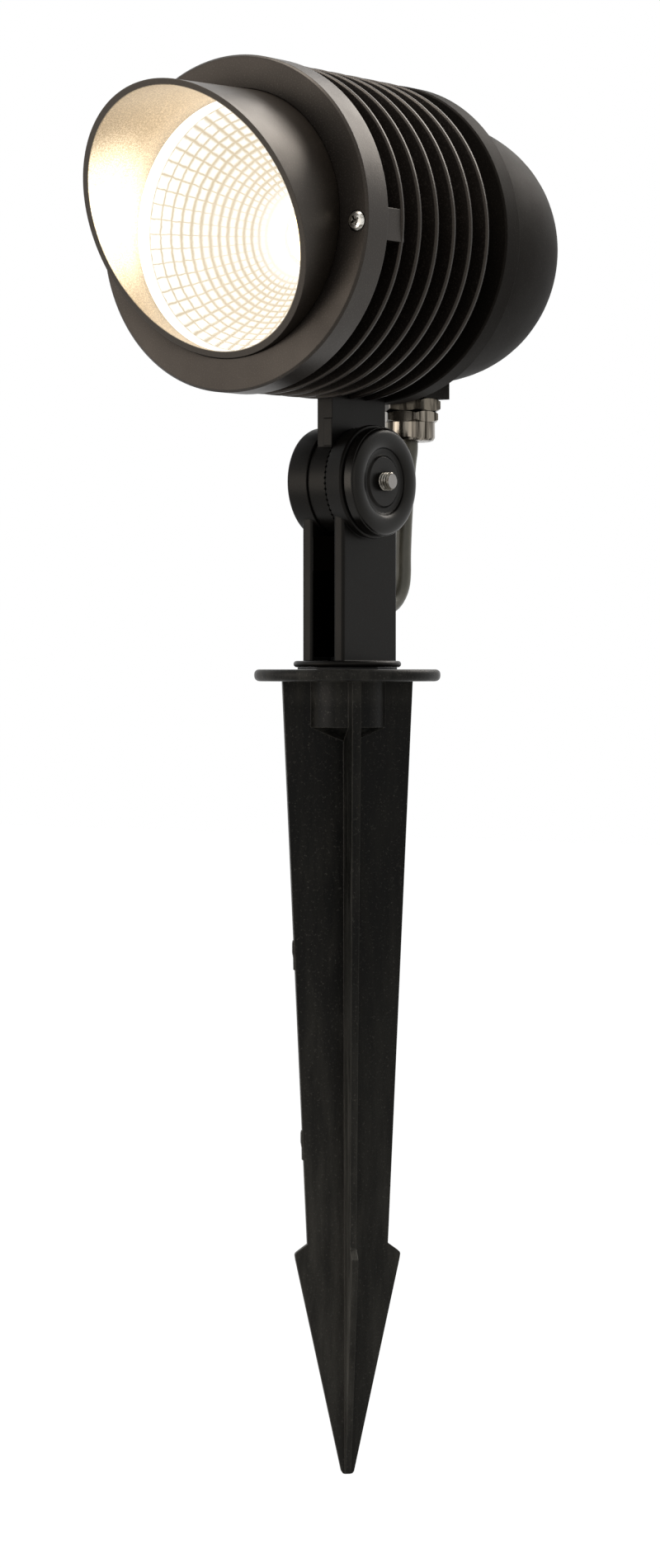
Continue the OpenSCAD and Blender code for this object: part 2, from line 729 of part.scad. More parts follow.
module rear_housing() {
  color([0.1, 0.1, 0.1])
    difference() {
      union() {
        barrel()
          rotate_extrude()
            polygon(concat(
              [[spigot_r + 0.12, band_front], [fin_r - 0.5, band_front],
               [fin_r, band_front + 0.5], [fin_r, band_rear - 0.9],
               [fin_r - 0.9, band_rear]],
              cap_outer, cap_inner,
              [[spigot_r + 0.12, cap_inner[cap_steps][1]]]));
        translate([-gland_pad / 2, gland_y - gland_pad / 2, pivot_z + gland_top])
          cube([gland_pad, gland_pad, axis_rise - gland_top - cap_r + 3.2]);
        barrel()
          for (q = post_angles)
            rotate([0, 0, q])
              translate([post_ring, 0, -wall_rear + seat_gap])
                cylinder(h = cap_start + cap_length - 4 * cap_wall + wall_rear, r = post_r, $fn = 40);
      }
      // gland thread through the pad and the cap
      translate([0, gland_y, pivot_z + gland_top - 1])
        cylinder(h = 12, r = gland_thread_r + 0.03, $fn = 64);
      barrel()
        for (q = post_angles)
          rotate([0, 0, q])
            translate([post_ring, 0, -wall_rear - 1])
              cylinder(h = post_screw_len - 2, r = post_screw_r + 0.03, $fn = 32);
    }
}

module housing_screws() {
  color([0.75, 0.75, 0.75])
    barrel()
      for (q = post_angles)
        rotate([0, 0, q])
          translate([post_ring, 0, -wall_front + post_seat - seat_gap])
            rotate([180, 0, 0])
              pan_screw(post_head_r, post_head_h, post_screw_r, post_screw_len);
}

// Driver: potted case with two ears that are screwed to the wall.
module driver() {
  color([0.2, 0.2, 0.22])
    barrel()
      difference() {
        union() {
          translate([-driver_w / 2, -driver_h / 2, -wall_rear + seat_gap])
            cube([driver_w, driver_h, driver_rear + wall_rear - seat_gap]);
          translate([-driver_ears / 2, -driver_ear_w / 2, -wall_rear + seat_gap])
            cube([driver_ears, driver_ear_w, driver_ear_t]);
        }
        for (s = [-1, 1])
          translate([s * driver_screw_x, 0, -wall_rear - 1])
            cylinder(h = 5, r = 1.6, $fn = 32);
        // sockets for the inner wires and the lead
        for (s = [-1, 1])
          translate([s * wire_gap / 2, driver_h / 2 - 1.5, 0])
            rotate([-90, 0, 0])
              cylinder(h = 3, r = wire_r + 0.12, $fn = 24);
        translate([0, driver_h / 2 - 3, gland_y])
          rotate([-90, 0, 0])
            cylinder(h = 4, r = lead_r + 0.05, $fn = 40);
      }
}

module driver_screws() {
  color([0.75, 0.75, 0.75])
    barrel()
      for (s = [-1, 1])
        translate([s * driver_screw_x, 0, -wall_rear + driver_ear_t + seat_gap * 2])
          pan_screw(driver_head_r, driver_head_h, small_screw_r, driver_screw_len);
}

// Tubes along chosen route points, smoothed by a rounded spline.
function spline(p0, p1, p2, p3, t) =
  0.5 * ((2 * p1) + (p2 - p0) * t + (2 * p0 - 5 * p1 + 4 * p2 - p3) * t * t
    + (3 * p1 - p0 - 3 * p2 + p3) * t * t * t);
function route(p, k) =
  let(n = len(p))
    concat([for (i = [0:n - 2]) for (s = [0:k - 1])
      spline(p[max(i - 1, 0)], p[i], p[i + 1], p[min(i + 2, n - 1)], s / k)], [p[n - 1]]);
function unit(v) = v / norm(v);
function heading(q, i) = unit(q[min(i + 1, len(q) - 1)] - q[max(i - 1, 0)]);
// the side vector stays square to a route that lies in a plane of constant X
function tube_points(q, r, sides) =
  [for (i = [0:len(q) - 1]) let(h = heading(q, i), u = [1, 0, 0], v = cross(h, u))
    for (j = [0:sides - 1]) q[i] + r * (cos(360 * j / sides) * u + sin(360 * j / sides) * v)];
function tube_faces(n, sides) = concat(
  [[for (j = [0:sides - 1]) j]],
  [for (i = [0:n - 2]) for (j = [0:sides - 1])
    [i * sides + j, (i + 1) * sides + j,
     (i + 1) * sides + (j + 1) % sides, i * sides + (j + 1) % sides]],
  [[for (j = [sides - 1:-1:0]) (n - 1) * sides + j]]);

module tube(p, r, sides, k) {
  q = route(p, k);
  polyhedron(points = tube_points(q, r, sides), faces = tube_faces(len(q), sides),
    convexity = 8);
}

// inner wires: from the driver's underside, through the wall, to the board holder
function wire_route(s) = [
  [s * wire_gap / 2, 0, axis_z - driver_h / 2 + 1.0],
  [s * wire_gap / 2, 0, axis_z - driver_h / 2 - 1.5],
  [s * wire_gap / 2, -2.5, axis_z - driver_h / 2 - 4.0],
  [s * wire_gap / 2, -10, axis_z - 17.6],
  [s * wire_gap / 2, -16, axis_z - 17.4],
  [s * wire_gap / 2, -18.2, axis_z - 15.6],
  [s * wire_gap / 2, -18.6, axis_z - 12.2]];

module wire_plus() {
  color([0.7, 0.1, 0.1])
    tube(wire_route(1), wire_r, 8, 2);
}

module wire_minus() {
  color([0.08, 0.08, 0.08])
    tube(wire_route(-1), wire_r, 8, 2);
}

// Hexagon whose corners are turned off at both ends.
module turned_hexagon(flats, h, turn) {
  r = flats / sqrt(3);
  cut = (r - flats / 2) * 0.62;
  intersection() {
    rotate([0, 0, turn])
      cylinder(h = h, r = r, $fn = 6);
    rotate_extrude($fn = 64)
      polygon([[0, 0], [flats / 2 + 0.02, 0], [r + 0.05, cut], [r + 0.05, h - cut],
        [flats / 2 + 0.02, h], [0, h]]);
  }
}

// Cable gland: threaded body with a hexagon, rubber seal and dome nut.
module gland_body() {
  color([0.35, 0.33, 0.3])
    translate([0, gland_y, pivot_z])
      difference() {
        union() {
          translate([0, 0, gland_top - gland_hex_h])
            turned_hexagon(gland_flats, gland_hex_h - seat_gap, 27);
          translate([0, 0, gland_top - 0.1])
            cylinder(h = 8.3, r = gland_thread_r, $fn = 64);
          translate([0, 0, nut_low + 3.2])
            cylinder(h = gland_top - nut_low - 4, r = 6.6, $fn = 64);
        }
        translate([0, 0, nut_low - 1])
          cylinder(h = 40, r = lead_r + 0.45, $fn = 48);
        translate([0, 0, nut_low])
          cylinder(h = 9.4, r = 4.9, $fn = 48);
      }
}

module gland_seal() {
  color([0.1, 0.1, 0.1])
    translate([0, gland_y, pivot_z + nut_low + 1.7])
      rotate_extrude($fn = 48)
        polygon([[lead_r + 0.02, 0], [4.6, 0], [4.8, 1.0], [4.8, 7.4], [lead_r + 0.02, 7.4]]);
}

module gland_nut() {
  color([0.75, 0.73, 0.68])
    translate([0, gland_y, pivot_z])
      difference() {
        union() {
          translate([0, 0, nut_top - nut_hex_h])
            turned_hexagon(nut_flats, nut_hex_h, 18);
          translate([0, 0, nut_low])
            rotate_extrude($fn = 64)
              polygon([[0, 0], [nut_r - 1.6, 0], [nut_r - 0.6, 0.35], [nut_r, 1.3],
                [nut_r, nut_h + eps], [0, nut_h + eps]]);
        }
        translate([0, 0, nut_low - 1])
          cylinder(h = 30, r = lead_r + 0.5, $fn = 48);
        translate([0, 0, nut_low + 1.5])
          cylinder(h = 30, r = 6.65, $fn = 64);
      }
}

// Lead: straight through the gland, hanging behind the fork, forward between its arms
// and down through the collar to the terminal block.
lead_low = 42; // where the lead begins to curve forward
lead_top = axis_z - driver_h / 2 + 2.6;
lead_exit = pivot_z + nut_low;
lead_bend = 11.3; // radius of its two bends
lead_floor = 24.4; // height of its level stretch
lead_back = gland_y - 15.2; // middle of the rear bend
function lead_fall(part) = lead_low + (lead_exit - lead_low) * part;
function lead_turn(y, z, q) = [0, y + lead_bend * cos(q), z + lead_bend * sin(q)];
lead_route = concat(
  [[0, gland_y, lead_top], [0, gland_y, lead_top - 14],
   [0, gland_y, lead_exit + 25], [0, gland_y, lead_exit + 12], [0, gland_y, lead_exit + 1],
   [0, gland_y, lead_exit - 3],
   [0, gland_y - 1, lead_fall(0.789)], [0, gland_y - 2.5, lead_fall(0.474)],
   [0, gland_y - 3.4, lead_fall(0.211)], [0, gland_y - 3.85, lead_low]],
  [for (q = [0:-22.5:-90]) lead_turn(lead_back, lead_floor + lead_bend, q)],
  [[0, (lead_back + lead_bend) / 2, lead_floor]],
  [for (q = [90:22.5:180]) lead_turn(lead_bend, lead_floor - lead_bend, q)],
  [[0, 0, 8], [0, 0, 3], [0, 0, -1.6]]);

module lead() {
  color([0.07, 0.07, 0.07])
    tube(lead_route, lead_r, 12, 2);
}

// Tongue: plate under the barrel with the toothed disc of the hinge.
module tooth_grooves(x, side, r_out) {
  for (i = [0:teeth - 1])
    along_hinge(x)
      rotate([0, 0, (i + 0.5) * 360 / teeth])
        translate([teeth_inner_r - 1, 0, 0])
          rotate([90, 0, 90])
            linear_extrude(height = r_out - teeth_inner_r + 1.2)
              polygon([[-groove_half - 0.1, side * 0.1], [groove_half + 0.1, side * 0.1],
                [0, -side * groove_depth]]);
}

module tongue() {
  color([0.1, 0.1, 0.1])
    difference() {
      union() {
        translate([plate_low_x, plate_mid_y - plate_half, pivot_z])
          cube([plate_t, 2 * plate_half, tongue_top]);
        // narrow rib on the plate's front, just above the disc
        translate([disc_half - rib_w, plate_mid_y - plate_half - 0.35, pivot_z + 11.5])
          cube([rib_w, 1, rib_h]);
        along_hinge(-disc_left)
          cylinder(h = disc_half + disc_left, r = disc_r);
      }
      along_hinge(-disc_left - 1)
        cylinder(h = disc_half + disc_left + 2, r = bolt_r + bolt_fit, $fn = 48);
      along_hinge(disc_half - groove_depth)
        cylinder(h = 1, r = teeth_inner_r, $fn = 64);
      tooth_grooves(disc_half, 1, disc_r);
      for (y = tongue_screw_y)
        translate([tongue_screw_x, y, pivot_z + tongue_top - 9])
          cylinder(h = 10, r = 2.03, $fn = 32);
    }
}

module tongue_screws() {
  color([0.6, 0.6, 0.6])
    for (y = tongue_screw_y)
      translate([tongue_screw_x, y, axis_z - chamber_r - 0.6 + seat_gap])
        difference() {
          union() {
            cylinder(h = 3, r = 3.5, $fn = 40);
            translate([0, 0, -13.6])
              cylinder(h = 13.7, r = 2.0, $fn = 32);
          }
          translate([0, 0, 1.2])
            cylinder(h = 3, r = 1.7, $fn = 6);
        }
}

// Hinge bolt: socket head in the left ear, thread bare past the clamp disc.
thread_from = ear_x - 2;
thread_rings = 9;
thread_pitch = (bolt_end - 0.6 - thread_from) / thread_rings;

module hinge_bolt() {
  color([0.78, 0.78, 0.76])
    difference() {
      union() {
        along_hinge(-ear_x + 0.5)
          cylinder(h = bolt_head_h, r = bolt_head_r, $fn = 48);
        along_hinge(0)
          rotate_extrude($fn = 48)
            polygon(concat(
              [[0, -ear_x + 0.6], [bolt_r, -ear_x + 0.6], [bolt_r, thread_from]],
              [for (i = [0:thread_rings - 1]) each [
                [bolt_r - 0.42, thread_from + (i + 0.5) * thread_pitch],
                [bolt_r, thread_from + (i + 0.9) * thread_pitch],
                [bolt_r, thread_from + (i + 1) * thread_pitch]]],
              [[bolt_r - 0.5, bolt_end], [0, bolt_end]]));
      }
      along_hinge(-ear_x)
        cylinder(h = 2.8, r = 2.9, $fn = 6);
    }
}

// Clamp disc: rounded rim, ring groove and a flat middle that is threaded on the bolt.
module clamp_disc() {
  ring_r = clamp_r - 0.35 - clamp_ring_w;
  color([0.1, 0.1, 0.1])
    along_hinge(clamp_x)
      rotate_extrude()
        polygon(concat(
          [[bolt_r + 0.04, 0], [clamp_r - 0.4, 0], [clamp_r, 0.4], [clamp_r, clamp_t - 0.15],
           [clamp_r - 0.15, clamp_t]],
          [for (q = [0:12:180]) [ring_r + clamp_ring_w * cos(q),
            clamp_t + clamp_ring_h * sin(q)]],
          [[ring_r - clamp_ring_w - 0.6, clamp_t - 0.35],
           [clamp_inner_r + 0.7, clamp_t - 0.4], [clamp_inner_r + 0.15, clamp_t],
           [clamp_inner_r, clamp_t + 0.2], [bolt_r + 0.04, clamp_t + 0.2]]));
}

// Fork: two ears, two arms, a web, the collar and the hollow stub.
// An ear runs from x0 to x1 and its radius from r0 to r1, with both edges rounded.
module ear(x0, x1, r0, r1, round_low, round_high) {
  along_hinge(0)
    rotate_extrude()
      polygon([
        [0, x0], [r0 - round_low, x0], [r0 - round_low * 0.3, x0 + round_low * 0.3],
        [r0, x0 + round_low], [r1, x1 - round_high],
        [r1 - round_high * 0.3, x1 - round_high * 0.3], [r1 - round_high, x1], [0, x1]]);
}

// section of an arm with rounded corners
module arm_section(w, d, r) {
  polygon([for (c = [[w - r, r, 270], [w - r, d - r, 0], [r, d - r, 90], [r, r, 180]])
    for (q = [0:22.5:90]) [c[0] + r * cos(c[2] + q), c[1] + r * sin(c[2] + q)]]);
}

module fork() {
  color([0.1, 0.1, 0.1])
    difference() {
      union() {
        ear(-ear_x, -left_ear_in, left_ear_r, left_ear_r, 1.2, 0.2);
        // the right ear widens outwards, so that the teeth show in the seam
        ear(ear_in, ear_x, disc_r, right_ear_r, 0.2, 1.0);
        for (s = [-1, 1])
          translate([s > 0 ? arm_in : -arm_out, arm_back - arm_half, collar_high - eps])
            linear_extrude(height = pivot_z - collar_high)
              arm_section(arm_out - arm_in, 2 * arm_half, arm_round);
        translate([-arm_in - 0.5, -web_half, web_low])
          cube([2 * arm_in + 1, 2 * web_half, web_high - web_low]);
        // stub and collar, whose rim is a full round
        rotate_extrude()
          polygon(concat(
            [[0, stub_low], [stub_r - 0.6, stub_low], [stub_r, stub_low + 0.6], [stub_r, collar_low]],
            [for (q = [-90:22.5:90]) [collar_r - collar_t / 2 + collar_t / 2 * cos(q),
              (collar_low + collar_high) / 2 + collar_t / 2 * sin(q)]],
            [[0, collar_high]]));
      }
      // the toothed disc turns in this gap
      along_hinge(-left_ear_in)
        cylinder(h = left_ear_in + ear_in, r = disc_r + 0.45);
      // the plate swings between the ears' edges above the arms
      tooth_grooves(ear_in, -1, right_ear_r);
      // bolt bore and the counterbore of its head
      along_hinge(-20)
        cylinder(h = 40, r = bolt_r + bolt_fit, $fn = 48);
      along_hinge(-ear_x - 1)
        cylinder(h = 1.5 + bolt_head_h + 0.05, r = bolt_head_r + free_gap, $fn = 48);
      // grommet hole, the stub's bore and the groove for the set screw
      translate([0, 0, plate_floor - 1])
        cylinder(h = collar_high - plate_floor + 1 + eps, r = grommet_hole_r, $fn = 64);
      translate([0, 0, stub_low - 1])
        cylinder(h = plate_floor - stub_low + 1, r = stub_bore_r, $fn = 64);
      rotate_extrude()
        polygon([[stub_r - 0.9, set_screw_z - 1.4], [stub_r + 1, set_screw_z - 1.4],
          [stub_r + 1, set_screw_z + 1.4], [stub_r - 0.9, set_screw_z + 1.4]]);
    }
}

module seat_washer() {
  color([0.12, 0.12, 0.12])
    translate([0, 0, flange_t + seat_gap / 2])
      difference() {
        cylinder(h = washer_t - seat_gap, r = washer_r);
        translate([0, 0, -washer_t])
          cylinder(h = 3 * washer_t, r = stub_r + free_gap + seat_gap);
      }
}

module cable_grommet() {
  color([0.1, 0.1, 0.1])
    intersection() {
      rotate_extrude($fn = 64)
        polygon([
          [lead_r + 0.03, plate_floor - 1.3], [grommet_lip_r - 0.4, plate_floor - 1.3],
          [grommet_lip_r, plate_floor - 0.9], [grommet_lip_r, plate_floor - seat_gap],
          [grommet_hole_r - 0.04, plate_floor - seat_gap],
          [grommet_hole_r - 0.04, collar_high + seat_gap],
          [grommet_lip_r, collar_high + seat_gap], [grommet_lip_r, collar_high + 0.7],
          [grommet_lip_r - 0.5, collar_high + 1.3], [lead_r + 0.03, collar_high + 1.5]]);
      // flat sides between the arms
      translate([-arm_in + seat_gap * 2, -20, -20])
        cube([2 * arm_in - seat_gap * 4, 40, 60]);
    }
}

// Terminal block in the stub: its corners seat in the bore and the lead enters its top.
block_side = (stub_bore_r - 0.15) * sqrt(2);
block_low = -6.4;
block_high = -0.2;

module terminal_block() {
  color([0.85, 0.85, 0.82])
    difference() {
      translate([-block_side / 2, -block_side / 2, block_low])
        cube([block_side, block_side, block_high - block_low]);
      translate([0, 0, -2])
        cylinder(h = 4, r = lead_r + 0.05, $fn = 40);
      for (s = [-1, 1]) {
        translate([s * 2.4, 0, block_low - 1])
          cylinder(h = 3.2, r = 1.3, $fn = 24);
        translate([s * 2.4, -block_side / 2 - 1, block_low + 3])
          rotate([-90, 0, 0])
            cylinder(h = 3, r = 1.4, $fn = 24);
      }
    }
}

module set_screw() {
  color([0.5, 0.5, 0.5])
    translate([0, stub_r - 0.6, set_screw_z])
      rotate([-90, 0, 0])
        difference() {
          cylinder(h = 3.6, r = 1.25, $fn = 32);
          translate([0, 0, 2.2])
            cylinder(h = 3, r = 0.7, $fn = 6);
        }
}

// Spike: flange, socket closed by a cone, and four tapering blades with barbs.
function blade_half(z) = blade_top + (blade_low - blade_top) * z / barb_start;
blade_profile = [
  [0, 0.2], [blade_half(0), 0.2], [blade_low, -barb_start], [barb_half - 0.8, -barb_point + 0.6],
  [barb_half - 0.15, -barb_point], [barb_half, -barb_point - 0.6], [barb_half - 0.25, -barb_point - 2.2],
  [tip_half, -tip_deep + 0.9], [tip_half * 0.75, -tip_deep + 0.2], [tip_half * 0.4, -tip_deep],
  [0, -tip_deep]];

// a blade's profile as a plate that grows thinner towards the tip
module blade() {
  far = barb_half + 1;
  rotate([90, 0, 0])
    intersection() {
      linear_extrude(height = 2 * blade_thick, center = true)
        polygon(blade_profile);
      rotate([0, 90, 0])
        linear_extrude(height = blade_half(0) + far)
          polygon([[-blade_thick / 2, 1], [-blade_thin / 2, -tip_deep - 1],
            [blade_thin / 2, -tip_deep - 1], [blade_thick / 2, 1]]);
    }
}

module spike() {
  color([0.08, 0.08, 0.08])
    difference() {
      union() {
        rotate_extrude()
          polygon([
            [0, 0], [flange_r - 1.7, 0], [flange_r - 1.05, 0.13], [flange_r - 0.5, 0.5],
            [flange_r - 0.13, 1.05], [flange_r, 1.7], [flange_r, flange_t - 1.5],
            [flange_r - 0.11, flange_t - 0.93], [flange_r - 0.44, flange_t - 0.44],
            [flange_r - 0.93, flange_t - 0.11], [flange_r - 1.5, flange_t], [0, flange_t]]);
        rotate_extrude()
          polygon([[0, -socket_deep - socket_cone], [2, -socket_deep - socket_cone],
            [socket_r, -socket_deep], [socket_r, 0.5], [0, 0.5]]);
        for (q = [45, 135, 225, 315])
          rotate([0, 0, q])
            blade();
        // two small ridges on the edge of the front left blade
        for (d = ridge_deep)
          rotate([0, 0, 225])
            translate([blade_half(d) - 1.5, 0, -d])
              rotate([90, 0, 0])
                linear_extrude(height = blade_thin, center = true)
                  polygon([[0, ridge_h / 2], [1.5 + ridge_out * 0.7, ridge_h / 2],
                    [1.5 + ridge_out, ridge_h * 0.4], [1.5 + ridge_out, ridge_h * 0.1],
                    [1.5 + ridge_out * 0.5, -ridge_h * 0.1],
                    [1.5 + ridge_out * 0.4, -ridge_h / 2], [0, -ridge_h / 2 - 0.8]]);
      }
      // socket bore with a flat floor
      translate([0, 0, stub_low - 1.2])
        cylinder(h = 20, r = stub_r + stub_fit);
      // hole for the set screw in the socket's rear wall
      translate([0, stub_r - 2, set_screw_z])
        rotate([-90, 0, 0])
          cylinder(h = 6, r = 1.28, $fn = 32);
      // slanted outlet for the supply cable, between the two rear blades
      translate([0, 0, stub_low - 1])
        rotate([-135, 0, 0])
          cylinder(h = 14, r = outlet_r, $fn = 40);
    }
}

hood();
bezel_ring();
bezel_screws();
glass_gasket();
glass_lens();
reflector();
board_holder();
holder_screws();
light_board();
thermal_pad();
heat_sink();
housing_gasket();
rear_housing();
housing_screws();
driver();
driver_screws();
wire_plus();
wire_minus();
gland_body();
gland_seal();
gland_nut();
lead();
tongue();
tongue_screws();
hinge_bolt();
clamp_disc();
fork();
seat_washer();
cable_grommet();
terminal_block();
set_screw();
spike();
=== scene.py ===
# %% [markdown]
# This file dresses a garden spike spotlight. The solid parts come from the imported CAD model:
# a finned lamp head with a slanted hood, a toothed hinge, a fork and a cross-bladed ground spike.
# Blender adds what solids can't say: the grain of powder coat, the glow of the lit bowl,
# the turned thread of the bolt and the soft bend of the lead.

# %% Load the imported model
import json
import math
import bmesh
import bpy
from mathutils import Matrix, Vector

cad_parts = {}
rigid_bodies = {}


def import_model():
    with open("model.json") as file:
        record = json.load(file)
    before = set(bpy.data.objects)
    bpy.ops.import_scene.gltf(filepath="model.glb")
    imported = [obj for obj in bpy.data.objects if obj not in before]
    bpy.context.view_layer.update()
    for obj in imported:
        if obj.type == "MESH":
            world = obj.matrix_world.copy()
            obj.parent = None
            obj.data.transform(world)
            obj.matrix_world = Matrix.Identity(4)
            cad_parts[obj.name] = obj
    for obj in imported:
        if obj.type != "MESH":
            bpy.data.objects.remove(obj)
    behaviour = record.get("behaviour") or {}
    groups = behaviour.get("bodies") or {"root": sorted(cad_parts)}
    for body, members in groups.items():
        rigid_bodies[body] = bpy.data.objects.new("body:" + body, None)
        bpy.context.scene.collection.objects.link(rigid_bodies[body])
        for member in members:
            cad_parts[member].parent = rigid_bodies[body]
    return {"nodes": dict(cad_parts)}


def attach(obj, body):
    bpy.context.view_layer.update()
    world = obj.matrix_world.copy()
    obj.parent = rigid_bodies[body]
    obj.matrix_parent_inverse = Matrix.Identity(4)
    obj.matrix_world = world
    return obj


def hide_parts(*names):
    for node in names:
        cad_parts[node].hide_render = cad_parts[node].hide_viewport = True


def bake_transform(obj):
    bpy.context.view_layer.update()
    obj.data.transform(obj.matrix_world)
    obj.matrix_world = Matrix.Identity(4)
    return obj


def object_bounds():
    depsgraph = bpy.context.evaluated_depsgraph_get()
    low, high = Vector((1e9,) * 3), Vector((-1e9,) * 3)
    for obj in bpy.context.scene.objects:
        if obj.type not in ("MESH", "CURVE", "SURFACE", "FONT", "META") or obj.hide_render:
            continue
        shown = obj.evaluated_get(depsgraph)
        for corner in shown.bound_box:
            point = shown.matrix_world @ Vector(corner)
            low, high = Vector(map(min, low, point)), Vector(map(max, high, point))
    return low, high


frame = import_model()
cad_box = [list(corner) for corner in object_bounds()]
print("CAD box in metres:", cad_box)

# %% [markdown]
# Lengths are in metres here, so sizes in millimetres are multiplied by MM. They repeat the CAD
# model's own values, so that a rebuilt piece sits exactly where its solid does. The barrel lies
# level along Y and shines towards -Y, and the hinge turns about X.

# %% Shared sizes
MM = 0.001
PIVOT_Z = 65 * MM
AXIS_Z = PIVOT_Z + 79.4 * MM
SPIKE_TIP_Z = cad_box[0][2]
print("barrel axis at", round(AXIS_Z, 4), "spike tip at", round(SPIKE_TIP_Z, 4))

# %% [markdown]
# The camera comes first. The photograph is 800 by 1900 pixels. The ellipses of the bezel and the
# flange say that the lens looks level, from 36.7 degrees to the right of the lamp's front and
# 1.3 m away, at the height of the flange. The focal length follows from 3.70 pixels for each
# millimetre at that distance, and a small shift puts the spike's axis where the photograph has it.

# %% Camera
IMAGE_W, IMAGE_H = 800, 1900
PX_PER_MM = 3.70
AXIS_PX = (421.0, 811.5)
AZIMUTH = math.radians(36.7)
DISTANCE = 1.300
EYE_Z = 3.8 * MM


def place_in_scene(name, data):
    """A new object that carries the data, linked to the scene."""
    thing = bpy.data.objects.new(name, data)
    bpy.context.collection.objects.link(thing)
    return thing


lens = bpy.data.cameras.new("photo_camera")
lens.sensor_fit = "VERTICAL"
lens.sensor_height = 36.0
lens.lens = PX_PER_MM * DISTANCE / MM / IMAGE_H * lens.sensor_height
lens.shift_x = (IMAGE_W / 2 - AXIS_PX[0]) / IMAGE_H
lens.shift_y = (AXIS_PX[1] - IMAGE_H / 2) / IMAGE_H
lens.clip_start = 0.05
camera = place_in_scene("photo_camera", lens)
camera.location = (math.sin(AZIMUTH) * DISTANCE, -math.cos(AZIMUTH) * DISTANCE, EYE_Z)
camera.rotation_euler = (math.radians(90), 0, AZIMUTH)
bpy.context.scene.camera = camera
bpy.context.scene.view_settings.view_transform = "Standard"
print("lens", round(lens.lens, 2), "mm, shift", round(lens.shift_x, 4), round(lens.shift_y, 4))

# %% [markdown]
# Colours are written as the hex values that a screen shows. A shader works in linear light, so
# one function turns them. One more function adds a node, sets it up and links it, which keeps
# every material below short. The three kinds of node that are used most have short names.

# %% Helpers for every node tree
MATH, MIX, RANGE = "ShaderNodeMath", "ShaderNodeMix", "ShaderNodeMapRange"


def linear(hex_colour):
    """An sRGB hex colour such as "1c1b1a" as linear RGBA."""
    out = []
    for i in (0, 2, 4):
        c = int(hex_colour[i:i + 2], 16) / 255
        out.append(c / 12.92 if c <= 0.04045 else ((c + 0.055) / 1.055) ** 2.4)
    return (*out, 1.0)


def socket(sockets, key=None):
    """The socket with that number, the one in use with that name, or the first one in use."""
    if isinstance(key, int):
        return sockets[key]
    return next(s for s in sockets if s.enabled and key in (None, s.name))


def add(tree, kind, inputs=None, **settings):
    """Adds a node. An input is a plain value, another node, or a node and the name of its output."""
    node = tree.nodes.new(kind)
    for name, value in settings.items():
        setattr(node, name, value)
    for key, given in (inputs or {}).items():
        source, *output = given if isinstance(given, tuple) else (given,)
        if isinstance(source, bpy.types.Node):
            tree.links.new(socket(source.outputs, *output), socket(node.inputs, key))
        else:
            socket(node.inputs, key).default_value = given
    return node


def empty_tree(owner):
    """The cleared node tree of a material or a world."""
    owner.use_nodes = True
    owner.node_tree.nodes.clear()
    return owner.node_tree


def new_material(name):
    """A material, its tree, and the place on the object that its patterns follow."""
    material = bpy.data.materials.new(name)
    tree = empty_tree(material)
    return material, tree, (add(tree, "ShaderNodeTexCoord"), "Object")


def surface(material, inputs):
    """Ends a material with a surface that has those inputs."""
    shader = add(material.node_tree, "ShaderNodeBsdfPrincipled", inputs)
    add(material.node_tree, "ShaderNodeOutputMaterial", {"Surface": shader})
    return material


print("a warm black in linear light:", [round(c, 4) for c in linear("1c1b1a")])

# %% [markdown]
# Powder coat is plastic powder that is baked on to the casting. It flows into a film with a fine
# pebbled grain of about half a millimetre. The eye sees the grain as a sparkle where light grazes
# it, and as a soft even black elsewhere. The grain is a noise bump at its real size, a second,
# wider noise makes the gloss uneven, and a few pale flecks catch the light. The film also rounds
# every edge a little, so that rims catch a thin line of light: a Bevel node says by how much.
# In deep gaps the coat's mirror light is turned down, which paints shade there: ambient occlusion
# finds them. The narrow slot between the fork's arms is painted dark and dull all over, as painted
# shade. A range of widths and heights says where that is, in place of ambient occlusion.
# Inside the hood the same coat is flooded by the lamp, and that light is painted in: a golden tone
# in which every pebble sparkles, and a glow. A point is inside when it is nearer to the barrel's axis
# than the hood's inner wall. The painted glow is stronger at the foot of that wall, for light that
# scatters in the edge of the glass.

# %% Where the coat differs
HOOD_IN_R, HOOD_FOOT_Y, HOOD_DRAFT = 40.65 * MM, -57.5 * MM, 0.030
WALL_BLUR = 0.08 * MM
SLOT_HALF_X, SLOT_LOW_Z, SLOT_HIGH_Z = 4.3 * MM, 8 * MM, PIVOT_Z - 17.9 * MM


def from_barrel_axis(tree, place):
    """The distance of a point from the barrel's axis."""
    flat = add(tree, "ShaderNodeMapping",
               {"Vector": place, "Location": (0, 0, -AXIS_Z), "Scale": (1, 0, 1)})
    return add(tree, "ShaderNodeVectorMath", {0: flat}, operation="LENGTH")


def on_inner_wall(tree, place):
    """1 on the inside of the hood, 0 on its rim and outside."""
    split = add(tree, "ShaderNodeSeparateXYZ", {"Vector": place})
    wall_r = add(tree, MATH,
                 {0: (split, "Y"), 1: HOOD_DRAFT, 2: HOOD_IN_R - HOOD_DRAFT * HOOD_FOOT_Y},
                 operation="MULTIPLY_ADD")
    short = add(tree, MATH, {0: wall_r, 1: from_barrel_axis(tree, place)},
                operation="SUBTRACT")
    return add(tree, RANGE, {"Value": short, "From Min": 0.0, "From Max": WALL_BLUR})


def in_fork_slot(tree, place):
    """1 between the fork's arms, 0 elsewhere."""
    split = add(tree, "ShaderNodeSeparateXYZ", {"Vector": place})
    across = add(tree, MATH, {0: (split, "X"), 1: 0.0, 2: SLOT_HALF_X}, operation="COMPARE")
    upright = add(tree, MATH,
                  {0: (split, "Z"), 1: (SLOT_LOW_Z + SLOT_HIGH_Z) / 2, 2: (SLOT_HIGH_Z - SLOT_LOW_Z) / 2},
                  operation="COMPARE")
    return add(tree, MATH, {0: across, 1: upright}, operation="MULTIPLY")


